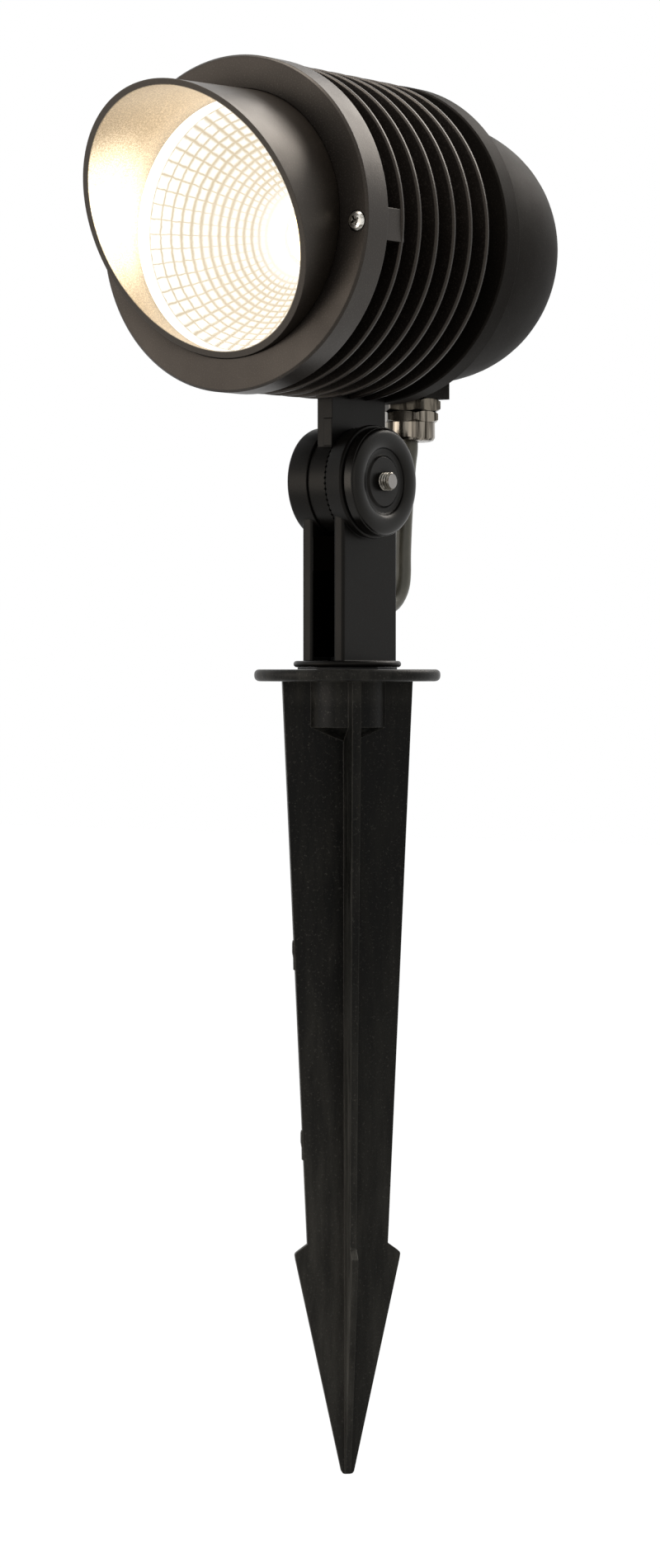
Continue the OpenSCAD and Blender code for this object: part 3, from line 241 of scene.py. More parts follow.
print("slot between the arms:", round(SLOT_LOW_Z, 4), "to", round(SLOT_HIGH_Z, 4))

# %% [markdown]
# One recipe makes all five coats, from a satin hood to a smooth fork. The hex pair gives the film
# and its flecks, and shine says how much of plastic's plain mirror light is left. The coats of
# the head mirror a warmer tint than those of the fork, as in the photograph.

# %% Powder coat on cast aluminium
COAT_EDGE = 0.45 * MM
RECESS_REACH = 9 * MM
# The near-black tone of the painted shade in the fork's slot.
SLOT_SHADE_TONE = "040302"
GLOW_FAR_Y = -71 * MM
# The warm tint on the head's mirror light is painted light: it stands for warm light round the head.
WARM_SHINE, PLAIN_SHINE = "fff1e1", "faf6ee"


def powder_coat(name, film, fleck_tone, roughness, grain_mm, depth_mm, flecks, shine, tint,
                lit=None, slotted=False):
    """Powder coat. lit paints the lamp's light inside the hood, and slotted paints shade in the fork's
    slot.
    """
    material, tree, place = new_material(name)
    grain = add(tree, "ShaderNodeTexNoise",
                {"Vector": place, "Scale": 1000 / grain_mm, "Detail": 2.0, "Roughness": 0.6})
    cloud = add(tree, "ShaderNodeTexNoise",
                {"Vector": place, "Scale": 45.0, "Detail": 3.0, "Roughness": 0.55})
    # The pale flecks are painted glints, where the grain would catch the light.
    speck = add(tree, RANGE,
                {"Value": grain, "From Min": 0.54, "From Max": 0.80, "To Max": flecks})
    tone = add(tree, MIX,
               {"Factor": speck, "A": linear(film), "B": linear(fleck_tone)}, data_type="RGBA")
    dullness = add(tree, RANGE,
                   {"Value": cloud, "From Min": 0.3, "From Max": 0.7,
                    "To Min": roughness - 0.05, "To Max": roughness + 0.06})
    rounded = add(tree, "ShaderNodeBevel", {"Radius": COAT_EDGE}, samples=6)
    bump = add(tree, "ShaderNodeBump",
               {"Strength": 0.55, "Distance": depth_mm * MM, "Height": grain, "Normal": rounded})
    # Painted shade: the fork's slot gets a near-black tone and no mirror light.
    if slotted:
        slot_shade = in_fork_slot(tree, place)
        tone = add(tree, MIX,
                   {"Factor": slot_shade, "A": tone, "B": linear(SLOT_SHADE_TONE)}, data_type="RGBA")
        shine_here = add(tree, RANGE, {"Value": slot_shade, "To Min": shine, "To Max": 0.0})
    else:
        # Painted shade: the mirror light fades where ambient occlusion finds a recess.
        open_air = add(tree, "ShaderNodeAmbientOcclusion", {"Distance": RECESS_REACH}, samples=4)
        shine_here = add(tree, RANGE,
                         {"Value": (open_air, "AO"), "From Min": 0.45, "From Max": 0.92,
                          "To Min": 0.1 * shine, "To Max": shine})
    emission = {}
    # Painted light inside the hood: a golden tone with pale sparkle, and a glow that is stronger near the
    # glass.
    if lit:
        wall = on_inner_wall(tree, place)
        sparkle = add(tree, RANGE, {"Value": grain, "From Min": 0.42, "From Max": 0.66})
        gold = add(tree, MIX,
                   {"Factor": sparkle, "A": linear(lit["dull"]), "B": linear(lit["bright"])},
                   data_type="RGBA")
        tone = add(tree, MIX, {"Factor": wall, "A": tone, "B": gold}, data_type="RGBA")
        split = add(tree, "ShaderNodeSeparateXYZ", {"Vector": place})
        near = add(tree, RANGE,
                   {"Value": (split, "Y"), "From Min": GLOW_FAR_Y, "From Max": HOOD_FOOT_Y,
                    "To Min": lit["far"], "To Max": lit["near"]}, interpolation_type="SMOOTHSTEP")
        glow = add(tree, MATH, {0: wall, 1: near}, operation="MULTIPLY")
        emission = {"Emission Color": linear(lit["glow"]), "Emission Strength": glow}
    return surface(material,
                   {"Base Color": tone, "Roughness": dullness, "Normal": bump, "IOR": 1.5,
                    "Specular IOR Level": shine_here, "Specular Tint": linear(tint), **emission})


barrel_coat = powder_coat("powder_coat_fine", "1c1917", "504b46", roughness=0.40, grain_mm=0.50,
                          depth_mm=0.06, flecks=0.6, shine=0.38, tint=WARM_SHINE)
hood_coat = powder_coat("powder_coat_satin", "211d19", "51483f", roughness=0.37, grain_mm=0.50,
                        depth_mm=0.04, flecks=0.5, shine=0.58, tint=WARM_SHINE,
                        lit={"dull": "93856d", "bright": "c8bba2", "glow": "fff1da", "far": 0.06,
                             "near": 0.30})
rear_coat = powder_coat("powder_coat_rear", "161412", "35312d", roughness=0.58, grain_mm=0.55,
                        depth_mm=0.05, flecks=0.5, shine=0.07, tint=WARM_SHINE)
fork_coat = powder_coat("powder_coat_smooth", "0e0d0c", "2c2a27", roughness=0.36, grain_mm=0.45,
                        depth_mm=0.025, flecks=0.35, shine=0.11, tint=PLAIN_SHINE, slotted=True)
disc_coat = powder_coat("powder_coat_gloss", "0c0b0a", "2c2a27", roughness=0.27, grain_mm=0.45,
                        depth_mm=0.02, flecks=0.25, shine=0.20, tint=PLAIN_SHINE)
print("powder coats:", [m.name for m in (barrel_coat, hood_coat, rear_coat, fork_coat, disc_coat)])

# %% [markdown]
# The spike is moulded from black plastic, probably a filled nylon or polypropylene. Moulding
# leaves a matte skin with flow marks along the blades: long, soft differences in gloss, and small
# dimples. Stretching a noise along Z gives the flow marks, and a finer noise gives the skin.
# Small pits are painted pale as glints, and the edges pale as a painted highlight. The flange gets
# a painted highlight too, and the blades get paler towards the tip. An edge is where the rounded
# normal leaves the true one.

# %% Moulded plastics
MOULD_EDGE = 0.5 * MM
SKIN_DEPTH = 0.06 * MM
UNLIT = ("ffffff", 0.0)


def moulded_plastic(name, colour, pale, roughness, skin_mm, flow_scale, shine=0.35, glow=UNLIT, pale_bands=()):
    """Plastic. A pale band is where it starts and where it is full, both heights, and its strength."""
    material, tree, place = new_material(name)
    along = add(tree, "ShaderNodeMapping", {"Vector": place, "Scale": flow_scale})
    flow = add(tree, "ShaderNodeTexNoise",
               {"Vector": along, "Scale": 1.0, "Detail": 4.0, "Roughness": 0.6})
    skin = add(tree, "ShaderNodeTexNoise",
               {"Vector": place, "Scale": 1000 / skin_mm, "Detail": 3.0, "Roughness": 0.65})
    dullness = add(tree, RANGE,
                   {"Value": flow, "From Min": 0.3, "From Max": 0.7,
                    "To Min": roughness - 0.07, "To Max": roughness + 0.08})
    rounded = add(tree, "ShaderNodeBevel", {"Radius": MOULD_EDGE}, samples=6)
    bump = add(tree, "ShaderNodeBump",
               {"Strength": 0.5, "Distance": SKIN_DEPTH, "Height": skin, "Normal": rounded})
    chalk = add(tree, RANGE,
                {"Value": flow, "From Min": 0.42, "From Max": 0.78, "To Max": 0.28})
    # Pits are painted pale, as painted glints.
    pit_glints = add(tree, RANGE,
               {"Value": skin, "From Min": 0.58, "From Max": 0.76, "To Max": 0.9})
    marks = [chalk, pit_glints]
    # With pale bands the edges are painted pale too: a painted highlight where the rounded normal leaves
    # the true one.
    if pale_bands:
        true_face = add(tree, "ShaderNodeNewGeometry")
        match = add(tree, "ShaderNodeVectorMath", {0: rounded, 1: (true_face, "Normal")},
                    operation="DOT_PRODUCT")
        marks.append(add(tree, RANGE,
                         {"Value": match, "From Min": 0.995, "From Max": 0.90, "To Max": 0.8}))
    height = add(tree, "ShaderNodeSeparateXYZ", {"Vector": place})
    for band_from_z, band_full_z, strength in pale_bands:
        wear_and_painted_light = add(tree, RANGE,
                   {"Value": (height, "Z"), "From Min": band_from_z, "From Max": band_full_z,
                    "To Max": strength}, interpolation_type="SMOOTHSTEP")
        marks.append(add(tree, MATH, {0: wear_and_painted_light, 1: flow}, operation="MULTIPLY"))
    share = marks[0]
    for mark in marks[1:]:
        share = add(tree, MATH, {0: share, 1: mark}, operation="ADD")
    tone = add(tree, MIX,
               {"Factor": share, "A": linear(colour), "B": linear(pale)}, data_type="RGBA")
    return surface(material,
                   {"Base Color": tone, "Roughness": dullness, "Normal": bump, "IOR": 1.5,
                    "Specular IOR Level": shine, "Emission Color": linear(glow[0]),
                    "Emission Strength": glow[1]})


# The flange's pale band is a painted highlight, and the blades get paler towards the tip.
FLANGE_HIGHLIGHT = (-9 * MM, -5 * MM, 0.35)
PALER_TO_TIP = (-60 * MM, -200 * MM, 0.8)
EVEN_FLOW = (60, 60, 60)
spike_plastic = moulded_plastic("moulded_nylon_black", "0a0a08", "53524e", 0.42, 0.8, (250, 250, 38),
                                shine=0.09, pale_bands=(FLANGE_HIGHLIGHT, PALER_TO_TIP))
white_plastic = moulded_plastic("moulded_white_plastic", "d9d6cf", "efede8", 0.42, 0.6, EVEN_FLOW)
# The lit white plastic glows with painted light from the lamp.
lit_plastic = moulded_plastic("moulded_white_plastic_lit", "e9e6dd", "f6f3ec", 0.42, 0.6, EVEN_FLOW,
                              shine=0.3, glow=("fff9f0", 1.22))
case_plastic = moulded_plastic("moulded_grey_plastic", "2a2a2c", "3a3a3c", 0.5, 0.7, EVEN_FLOW)
print("plastics:", [m.name for m in (spike_plastic, white_plastic, lit_plastic, case_plastic)])

# %% [markdown]
# Rubber is duller than plastic. The washer, the grommet and the cable sheath share one recipe:
# a dark tone, a broad soft highlight and a faint dust that gathers in patches. The silicone of
# the gasket is white, and glows because the lamp floods it.

# %% Rubber and silicone
PORE_DEPTH = 0.02 * MM


def rubber(name, colour, dust, roughness, glow=UNLIT):
    """Rubber with dust in patches and fine pores."""
    material, tree, place = new_material(name)
    patch = add(tree, "ShaderNodeTexNoise",
                {"Vector": place, "Scale": 140.0, "Detail": 4.0, "Roughness": 0.6})
    pore = add(tree, "ShaderNodeTexNoise", {"Vector": place, "Scale": 2500.0, "Detail": 2.0})
    share = add(tree, RANGE,
                {"Value": patch, "From Min": 0.45, "From Max": 0.75, "To Max": 0.6})
    tone = add(tree, MIX,
               {"Factor": share, "A": linear(colour), "B": linear(dust)}, data_type="RGBA")
    dullness = add(tree, RANGE,
                   {"Value": patch, "From Min": 0.3, "From Max": 0.7,
                    "To Min": roughness - 0.06, "To Max": roughness + 0.08})
    bump = add(tree, "ShaderNodeBump", {"Strength": 0.3, "Distance": PORE_DEPTH, "Height": pore})
    return surface(material,
                   {"Base Color": tone, "Roughness": dullness, "Normal": bump, "IOR": 1.5,
                    "Specular IOR Level": 0.4, "Emission Color": linear(glow[0]),
                    "Emission Strength": glow[1]})


black_rubber = rubber("rubber_black", "121212", "1e1d1c", 0.62)
sheath = rubber("rubber_sheath", "6a695e", "7d7c71", 0.36)
white_silicone = rubber("silicone_white", "e9e6dd", "f6f3ec", 0.4, ("fffaf2", 1.22))
red_sheath = rubber("rubber_red", "8a1410", "a03028", 0.45)
grey_pad = rubber("silicone_grey", "77787d", "8a8b90", 0.7)
print("rubbers:", [m.name for m in (black_rubber, sheath, white_silicone, red_sheath, grey_pad)])

# %% [markdown]
# The bolt and most screws are turned from stainless steel, the bezel's two are plated with zinc,
# and the gland is brass under nickel.
# A metal gets its colour from its reflections, so roughness matters most: fine turning marks run
# round the bolt's axis, and handling leaves patches that are a little duller. On the gland the
# patches are drawn out along its axis, as a wrench and a cloth leave them, and their dark tone is a
# painted reflection of dark surroundings. Threads, recesses and gaps get painted shade, a dark tone
# where ambient occlusion finds them.

# %% Turned and plated metals
# The tone of the painted shade in recesses, and how far it reaches.
RECESS_SHADE = "12100d"
SHADE_REACH = 0.7 * MM
TURNING_DEPTH = 0.01 * MM
ALONG_MARK = 6.0


def turned_metal(name, colour, wear_and_painted_light, roughness, axis=(1, 0, 0), pitch_mm=0.25, patches=(300, 300, 300)):
    """Metal with turning marks across its axis, worn patches and painted shade in its recesses."""
    material, tree, place = new_material(name)
    rings = add(tree, "ShaderNodeMapping",
                {"Vector": place, "Scale": [1000 / pitch_mm if a else ALONG_MARK for a in axis]})
    marks = add(tree, "ShaderNodeTexNoise", {"Vector": rings, "Scale": 1.0, "Detail": 2.0})
    drawn = add(tree, "ShaderNodeMapping", {"Vector": place, "Scale": patches})
    wear_and_reflection = add(tree, "ShaderNodeTexNoise",
               {"Vector": drawn, "Scale": 1.0, "Detail": 4.0, "Roughness": 0.6})
    dullness = add(tree, RANGE,
                   {"Value": wear_and_reflection, "From Min": 0.35, "From Max": 0.7,
                    "To Min": roughness - 0.05, "To Max": roughness + 0.12})
    share = add(tree, RANGE, {"Value": wear_and_reflection, "From Min": 0.46, "From Max": 0.60})
    unshaded = add(tree, MIX,
                {"Factor": share, "A": linear(colour), "B": linear(wear_and_painted_light)}, data_type="RGBA")
    # Painted shade: the tone goes dark where ambient occlusion finds a recess.
    open_air = add(tree, "ShaderNodeAmbientOcclusion", {"Distance": SHADE_REACH}, samples=8)
    painted_shade = add(tree, RANGE,
               {"Value": (open_air, "AO"), "From Min": 0.80, "From Max": 0.45, "To Max": 0.92})
    tone = add(tree, MIX,
               {"Factor": painted_shade, "A": unshaded, "B": linear(RECESS_SHADE)}, data_type="RGBA")
    bump = add(tree, "ShaderNodeBump", {"Strength": 0.25, "Distance": TURNING_DEPTH, "Height": marks})
    return surface(material,
                   {"Base Color": tone, "Roughness": dullness, "Normal": bump, "Metallic": 1.0})


stainless = turned_metal("stainless_turned", "8d8981", "4a463f", 0.22)
zinc = turned_metal("zinc_plated_steel", "d8d5cd", "77736b", 0.22, (0, 1, 0), 0.3, (500, 500, 500))
# On the gland's nickels the dark tone of the drawn-out patches is a painted reflection.
nickel = turned_metal("nickel_plated_brass", "8a8378", "2b2721", 0.20, (0, 0, 1), 0.4, (420, 420, 18))
nickel_dark = turned_metal("nickel_tarnished", "6f685d", "2f2b25", 0.30, (0, 0, 1), 0.4, (300, 300, 60))
print("metals:", [m.name for m in (stainless, zinc, nickel, nickel_dark)])

# %% [markdown]
# The bowl is moulded plastic with a thin bright aluminium film. It is lit from its throat, so each
# facet glows cream and the creases between facets stay tan. The UV map carries the pattern: its U
# runs once round and its V from throat to rim. The creases that run round are widest in the middle
# rows and vanish in the glare of the throat. The creases that run from throat to rim are thin
# at the level of the axis, and wider above and below it. A noise breaks both up a little.

# %% Metallised bowl
FACETS_ROUND, FACET_ROWS = 50, 15
RAGGED = 0.22


def crease(tree, coordinate, count, half_width, ragged):
    """1 on the border of the facets along one axis of the UV map, 0 inside them."""
    cell = add(tree, MATH, {0: coordinate, 1: count}, operation="MULTIPLY")
    moved = add(tree, MATH, {0: cell, 1: ragged}, operation="ADD")
    part = add(tree, MATH, {0: moved}, operation="FRACT")
    centred = add(tree, MATH, {0: part, 1: 0.5}, operation="SUBTRACT")
    away = add(tree, MATH, {0: centred}, operation="ABSOLUTE")
    inner = add(tree, MATH, {0: 0.5, 1: half_width}, operation="SUBTRACT")
    return add(tree, RANGE, {"Value": away, "From Min": inner, "From Max": 0.5},
               interpolation_type="SMOOTHSTEP")


def lit_bowl(name):
    """Aluminium film that glows, with darker creases."""
    material, tree, place = new_material(name)
    uv = add(tree, "ShaderNodeUVMap", uv_map="facet")
    split = add(tree, "ShaderNodeSeparateXYZ", {"Vector": uv})
    noise = add(tree, "ShaderNodeTexNoise", {"Vector": place, "Scale": 420.0, "Detail": 2.0})
    ragged = add(tree, MATH, {0: noise, 1: RAGGED, 2: -RAGGED / 2}, operation="MULTIPLY_ADD")
    width_round = add(tree, RANGE,
                      {"Value": (split, "Y"), "From Min": 0.97, "From Max": 0.62,
                       "To Min": 0.10, "To Max": 0.42})
    rings = crease(tree, (split, "Y"), FACET_ROWS, width_round, ragged)
    turn = add(tree, MATH, {0: (split, "X"), 1: 4 * math.pi}, operation="MULTIPLY")
    level = add(tree, MATH, {0: turn}, operation="COSINE")
    width_up = add(tree, RANGE,
                   {"Value": level, "From Min": 0.9, "From Max": -0.6, "To Min": 0.07, "To Max": 0.30})
    spokes = crease(tree, (split, "X"), FACETS_ROUND, width_up, ragged)
    lines = add(tree, MATH, {0: rings, 1: spokes}, operation="MAXIMUM")
    past_glare = add(tree, RANGE,
                     {"Value": (split, "Y"), "From Min": 0.02, "From Max": 0.30},
                     interpolation_type="SMOOTHSTEP")
    share = add(tree, MATH, {0: lines, 1: past_glare}, operation="MULTIPLY")
    # The glow is painted light from the lamp, and the tan of the creases is painted shade.
    glow = add(tree, MIX,
               {"Factor": share, "A": linear("fffcf5"), "B": linear("d2c1a5")}, data_type="RGBA")
    return surface(material,
                   {"Base Color": linear("3a352c"), "Metallic": 1.0, "Roughness": 0.35,
                    "Emission Color": glow, "Emission Strength": 1.12})


bowl_film = lit_bowl("aluminium_film_lit")
print("film:", bowl_film.name)

# %% [markdown]
# The glass is toughened and clear, with a coating against reflections: a dark tint on its mirror
# light stands for that, because plain glass would show the studio over the bowl. Handling leaves
# a faint haze. Behind it sits a pale board with phosphor in its middle, which glows: the disc is
# the place within 9 mm of the barrel's axis, and its grain gives the light an uneven centre.

# %% Glass and light board
GLASS_MIRROR = "4a4e55"
DISC_R_FULL, DISC_R_EDGE = 8.6 * MM, 9.1 * MM


def glass(name):
    """Clear glass whose coating leaves less than a tenth of the plain mirror light."""
    material, tree, place = new_material(name)
    film = add(tree, "ShaderNodeTexNoise", {"Vector": place, "Scale": 35.0, "Detail": 3.0})
    haze = add(tree, RANGE,
               {"Value": film, "From Min": 0.45, "From Max": 0.8, "To Min": 0.0, "To Max": 0.05})
    return surface(material,
                   {"Base Color": linear("fdfefd"), "Roughness": haze, "Transmission Weight": 1.0,
                    "IOR": 1.5, "Specular Tint": linear(GLASS_MIRROR)})


def light_source(name):
    """A pale board whose middle disc glows."""
    material, tree, place = new_material(name)
    inside = add(tree, RANGE,
                 {"Value": from_barrel_axis(tree, place), "From Min": DISC_R_FULL,
                  "From Max": DISC_R_EDGE, "To Min": 1.0, "To Max": 0.0})
    grain = add(tree, "ShaderNodeTexVoronoi", {"Vector": place, "Scale": 900.0})
    power = add(tree, RANGE,
                {"Value": grain, "From Max": 0.8, "To Min": 4.0, "To Max": 3.0})
    strength = add(tree, MATH, {0: inside, 1: power}, operation="MULTIPLY")
    tone = add(tree, MIX,
               {"Factor": inside, "A": linear("e8e6e0"), "B": linear("ecc65a")}, data_type="RGBA")
    return surface(material,
                   {"Base Color": tone, "Roughness": 0.5, "Emission Color": linear("ffe2b0"),
                    "Emission Strength": strength})


clear_glass = glass("toughened_glass")
board_light = light_source("light_board_lit")
print("glass and board:", clear_glass.name, board_light.name)

# %% [markdown]
# The CAD nodes whose shape is right keep it, and only get their finish. A table says which. It
# lists the other nodes too, because their smooth copies take their finish from it.

# %% Finishes for the CAD nodes
FINISHES = {
    "hood": hood_coat, "bezel_ring": barrel_coat, "heat_sink": barrel_coat, "rear_housing": rear_coat,
    "bezel_screws": zinc, "glass_gasket": white_silicone, "glass_lens": clear_glass,
    "reflector": bowl_film, "board_holder": lit_plastic, "holder_screws": stainless,
    "light_board": board_light, "thermal_pad": grey_pad, "housing_gasket": black_rubber,
    "housing_screws": stainless, "driver": case_plastic, "driver_screws": stainless,
    "wire_plus": red_sheath, "wire_minus": sheath, "gland_body": nickel_dark, "gland_seal": black_rubber,
    "gland_nut": nickel, "lead": sheath, "tongue": fork_coat, "tongue_screws": stainless,
    "hinge_bolt": stainless, "clamp_disc": disc_coat, "fork": fork_coat, "seat_washer": black_rubber,
    "cable_grommet": black_rubber, "terminal_block": white_plastic, "set_screw": stainless,
    "spike": spike_plastic,
}
for name, finish in FINISHES.items():
    solid = frame["nodes"][name]
    solid.data.materials.clear()
    solid.data.materials.append(finish)
print("finished", len(FINISHES), "of", len(frame["nodes"]), "CAD nodes")

# %% [markdown]
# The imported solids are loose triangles, and flat shading would show every flat of a round wall.
# So each casting and moulding that is seen gets a merged copy, shaded smooth with its real edges
# kept sharp. Weighted normals keep the flat faces flat. The copy has the solid's own shape.

# %% Smooth copies of the castings and mouldings
EDGE_ANGLE = math.radians(32)
WELD_REACH = 0.0005 * MM
LARGE_FACE_WEIGHT = 80
SMOOTHED = {
    "hood_sleeve": "hood", "front_ring": "bezel_ring", "finned_body": "heat_sink",
    "rear_cover": "rear_housing", "hinge_plate": "tongue", "hinge_fork": "fork",
    "grooved_disc": "clamp_disc", "dark_washer": "seat_washer", "ground_spike": "spike",
    "gland_hexagon": "gland_body", "gland_dome_nut": "gland_nut", "white_gasket": "glass_gasket",
}


def body_of(node):
    """The name of the body that carries a CAD node."""
    return frame["nodes"][node].parent.name.split(":")[1]


def smooth_edges(mesh):
    """Smooth shading, with the edges past EDGE_ANGLE kept sharp."""
    mesh.shade_smooth()
    mesh.set_sharp_from_angle(angle=EDGE_ANGLE)


def plain_piece(name, source):
    """An object called name with the source's finished mesh, in place of the source."""
    bpy.context.view_layer.update()
    graph = bpy.context.evaluated_depsgraph_get()
    mesh = bpy.data.meshes.new_from_object(source.evaluated_get(graph))
    bpy.data.objects.remove(source)
    mesh.name = name
    return place_in_scene(name, mesh)


def smooth_copy(name, node):
    """A merged, smooth copy of a CAD node that stands for it."""
    shape = bmesh.new()
    shape.from_mesh(frame["nodes"][node].data)
    bmesh.ops.remove_doubles(shape, verts=shape.verts, dist=WELD_REACH)
    shape.verts.index_update()
    corners = [v.co[:] for v in shape.verts]
    faces = [[v.index for v in face.verts] for face in shape.faces]
    shape.free()
    mesh = bpy.data.meshes.new(name + "_flat")
    mesh.from_pydata(corners, [], faces)
    smooth_edges(mesh)
    source = place_in_scene(name + "_source", mesh)
    weighted = source.modifiers.new("weighted", "WEIGHTED_NORMAL")
    weighted.keep_sharp = True
    weighted.weight = LARGE_FACE_WEIGHT
    piece = plain_piece(name, source)
    piece.data.materials.clear()
    piece.data.materials.append(FINISHES[node])
    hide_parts(node)
    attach(piece, body_of(node))
    return len(piece.data.polygons)


for name, node in SMOOTHED.items():
    print(name, "from", node, "has", smooth_copy(name, node), "triangles")

# %% [markdown]
# Geometry Nodes make what follows a rule. Small helpers start a tree with named inputs, end it,
# and run it, which turns the result into a plain mesh without its modifier, because the piece
# must be a finished mesh before it joins the frame. The bowl and the thread are both flat grids
# that are rolled up round an axis. Their sums stand in tables: a row has a name, an operation and
# its terms, and a loop turns it into a Math node. A term is a number, an input, an earlier row, or
# the X or Y of a point on the flat grid.

# %% Helpers for Geometry Nodes
SOCKETS = {float: "NodeSocketFloat", int: "NodeSocketInt", bpy.types.Material: "NodeSocketMaterial"}
SEAM_REACH = 0.001 * MM
UNROLLED = (
    ("u", "ADD", "X", 0.5),
    ("v", "ADD", "Y", 0.5),
    ("turn", "MULTIPLY", "u", 2 * math.pi),
    ("cosine", "COSINE", "turn"),
    ("sine", "SINE", "turn"),
)
ROLLED = (
    ("aside", "MULTIPLY", "radius", "cosine"),
    ("height", "MULTIPLY_ADD", "radius", "sine", "Axis Height"),
)


def start_tree(name, inputs):
    """A node group with an input for each value, the inputs' keys, and what is known in it by name."""
    tree = bpy.data.node_groups.new(name, "GeometryNodeTree")
    for way in ("INPUT", "OUTPUT"):
        tree.interface.new_socket("Geometry", in_out=way, socket_type="NodeSocketGeometry")
    keys = {}
    for label, value in inputs.items():
        kind = SOCKETS[type(value)]
        keys[label] = tree.interface.new_socket(label, in_out="INPUT", socket_type=kind).identifier
    given = tree.nodes.new("NodeGroupInput")
    return tree, keys, {label: (given, label) for label in ("Geometry", *inputs)}


def end_tree(tree, geometry, material):
    """Realize Instances and Set Material, then the output."""
    solid = add(tree, "GeometryNodeRealizeInstances", {"Geometry": geometry})
    painted = add(tree, "GeometryNodeSetMaterial", {"Geometry": solid, "Material": material})
    add(tree, "NodeGroupOutput", {"Geometry": painted})


def run_tree(name, tree, keys, values, data=None):
    """The tree's result as a plain mesh object called name."""
    source = place_in_scene(name + "_source", data or bpy.data.meshes.new(name + "_source"))
    modifier = source.modifiers.new("nodes", "NODES")
    modifier.node_group = tree
    for label, value in values.items():
        modifier[keys[label]] = value
    piece = plain_piece(name, source)
    print(name, len(piece.data.vertices), "vertices,", len(piece.data.polygons), "faces")
    return piece


def rolled_grid(tree, known, sums, axes, uv_name=None):
    """A flat grid moved to the sums that axes names, with its seam merged."""
    spot = add(tree, "ShaderNodeSeparateXYZ", {"Vector": add(tree, "GeometryNodeInputPosition")})
    known.update({"X": (spot, "X"), "Y": (spot, "Y")})
    for name, operation, *terms in (*UNROLLED, *sums, *ROLLED):
        given = {i: known.get(term, term) for i, term in enumerate(terms)}
        known[name] = add(tree, MATH, given, operation=operation)
    grid = add(tree, "GeometryNodeMeshGrid",
               {"Size X": 1.0, "Size Y": 1.0, "Vertices X": known["points round"],
                "Vertices Y": known["points up"]})
    mesh = grid
    if uv_name:
        mesh = add(tree, "GeometryNodeStoreNamedAttribute",
                   {"Geometry": grid, "Name": uv_name, "Value": (grid, "UV Map")},
                   data_type="FLOAT2", domain="CORNER")
    place = add(tree, "ShaderNodeCombineXYZ", {axis: known[name] for axis, name in zip("XYZ", axes)})
    moved = add(tree, "GeometryNodeSetPosition", {"Geometry": mesh, "Position": place})
    return add(tree, "GeometryNodeMergeByDistance", {"Geometry": moved, "Distance": SEAM_REACH})


def join_rings(shape, rings):
    """Faces between each ring of points and the next."""
    for ring, other in zip(rings, rings[1:]):
        for i, v in enumerate(ring):
            shape.faces.new((v, ring[i - 1], other[i - 1], other[i]))


print("shared rows:", len(UNROLLED) + len(ROLLED))

# %% [markdown]
# The bowl is a parabola cut into 50 by 15 facets, each one a small pillow. A flat grid stands for
# the unrolled bowl: its U runs once round and its V from throat to rim. Set Position rolls it up.
# The radius grows evenly with V, the depth with the square of the radius, and each facet bulges
# towards the light. The same grid keeps a UV map that the finish reads to find the creases.

# %% Bowl of pillow facets
CUTS = 4
THROAT_R, RIM_R = 10.4 * MM, 39.7 * MM
THROAT_Y, RIM_Y = 21.4 * MM, 52.0 * MM
PILLOW, PILLOW_POWER = 0.34 * MM, 0.7
BOWL_K = (RIM_R ** 2 - THROAT_R ** 2) / (RIM_Y - THROAT_Y)
BOWL_D0 = RIM_Y - RIM_R ** 2 / BOWL_K
OFF_BORDER = 1e-4

BOWL_SUMS = (
    ("points round", "MULTIPLY_ADD", "Facets Round", "Cuts", 1),
    ("points up", "MULTIPLY_ADD", "Facet Rows", "Cuts", 1),
    ("facets to u", "MULTIPLY_ADD", "u", "Facets Round", OFF_BORDER),
    ("facets to v", "MULTIPLY_ADD", "v", "Facet Rows", OFF_BORDER),
    ("across facet", "FRACT", "facets to u"),
    ("up facet", "FRACT", "facets to v"),
    ("angle across", "MULTIPLY", "across facet", math.pi),
    ("angle up", "MULTIPLY", "up facet", math.pi),
    ("arch across", "SINE", "angle across"),
    ("arch up", "SINE", "angle up"),
    ("arch", "MULTIPLY", "arch across", "arch up"),
    ("full arch", "POWER", "arch", PILLOW_POWER),
    ("lift", "MULTIPLY", "full arch", "Pillow"),
    ("widening", "SUBTRACT", "Rim Radius", "Throat Radius"),
    ("bowl radius", "MULTIPLY_ADD", "v", "widening", "Throat Radius"),
    ("radius squared", "MULTIPLY", "bowl radius", "bowl radius"),
    ("deeper by", "DIVIDE", "radius squared", "Spread"),
    ("depth", "ADD", "Focus Depth", "deeper by"),
    ("diameter", "MULTIPLY", "bowl radius", 2),
    ("slope", "DIVIDE", "diameter", "Spread"),
    ("length squared", "MULTIPLY_ADD", "slope", "slope", 1),
    ("length", "SQRT", "length squared"),
    ("lift by slope", "MULTIPLY", "lift", "slope"),
    ("lift inwards", "DIVIDE", "lift by slope", "length"),
    ("lift forwards", "DIVIDE", "lift", "length"),
    ("radius", "SUBTRACT", "bowl radius", "lift inwards"),
    ("facet depth", "ADD", "depth", "lift forwards"),
    ("forwards", "MULTIPLY", "facet depth", -1),
)

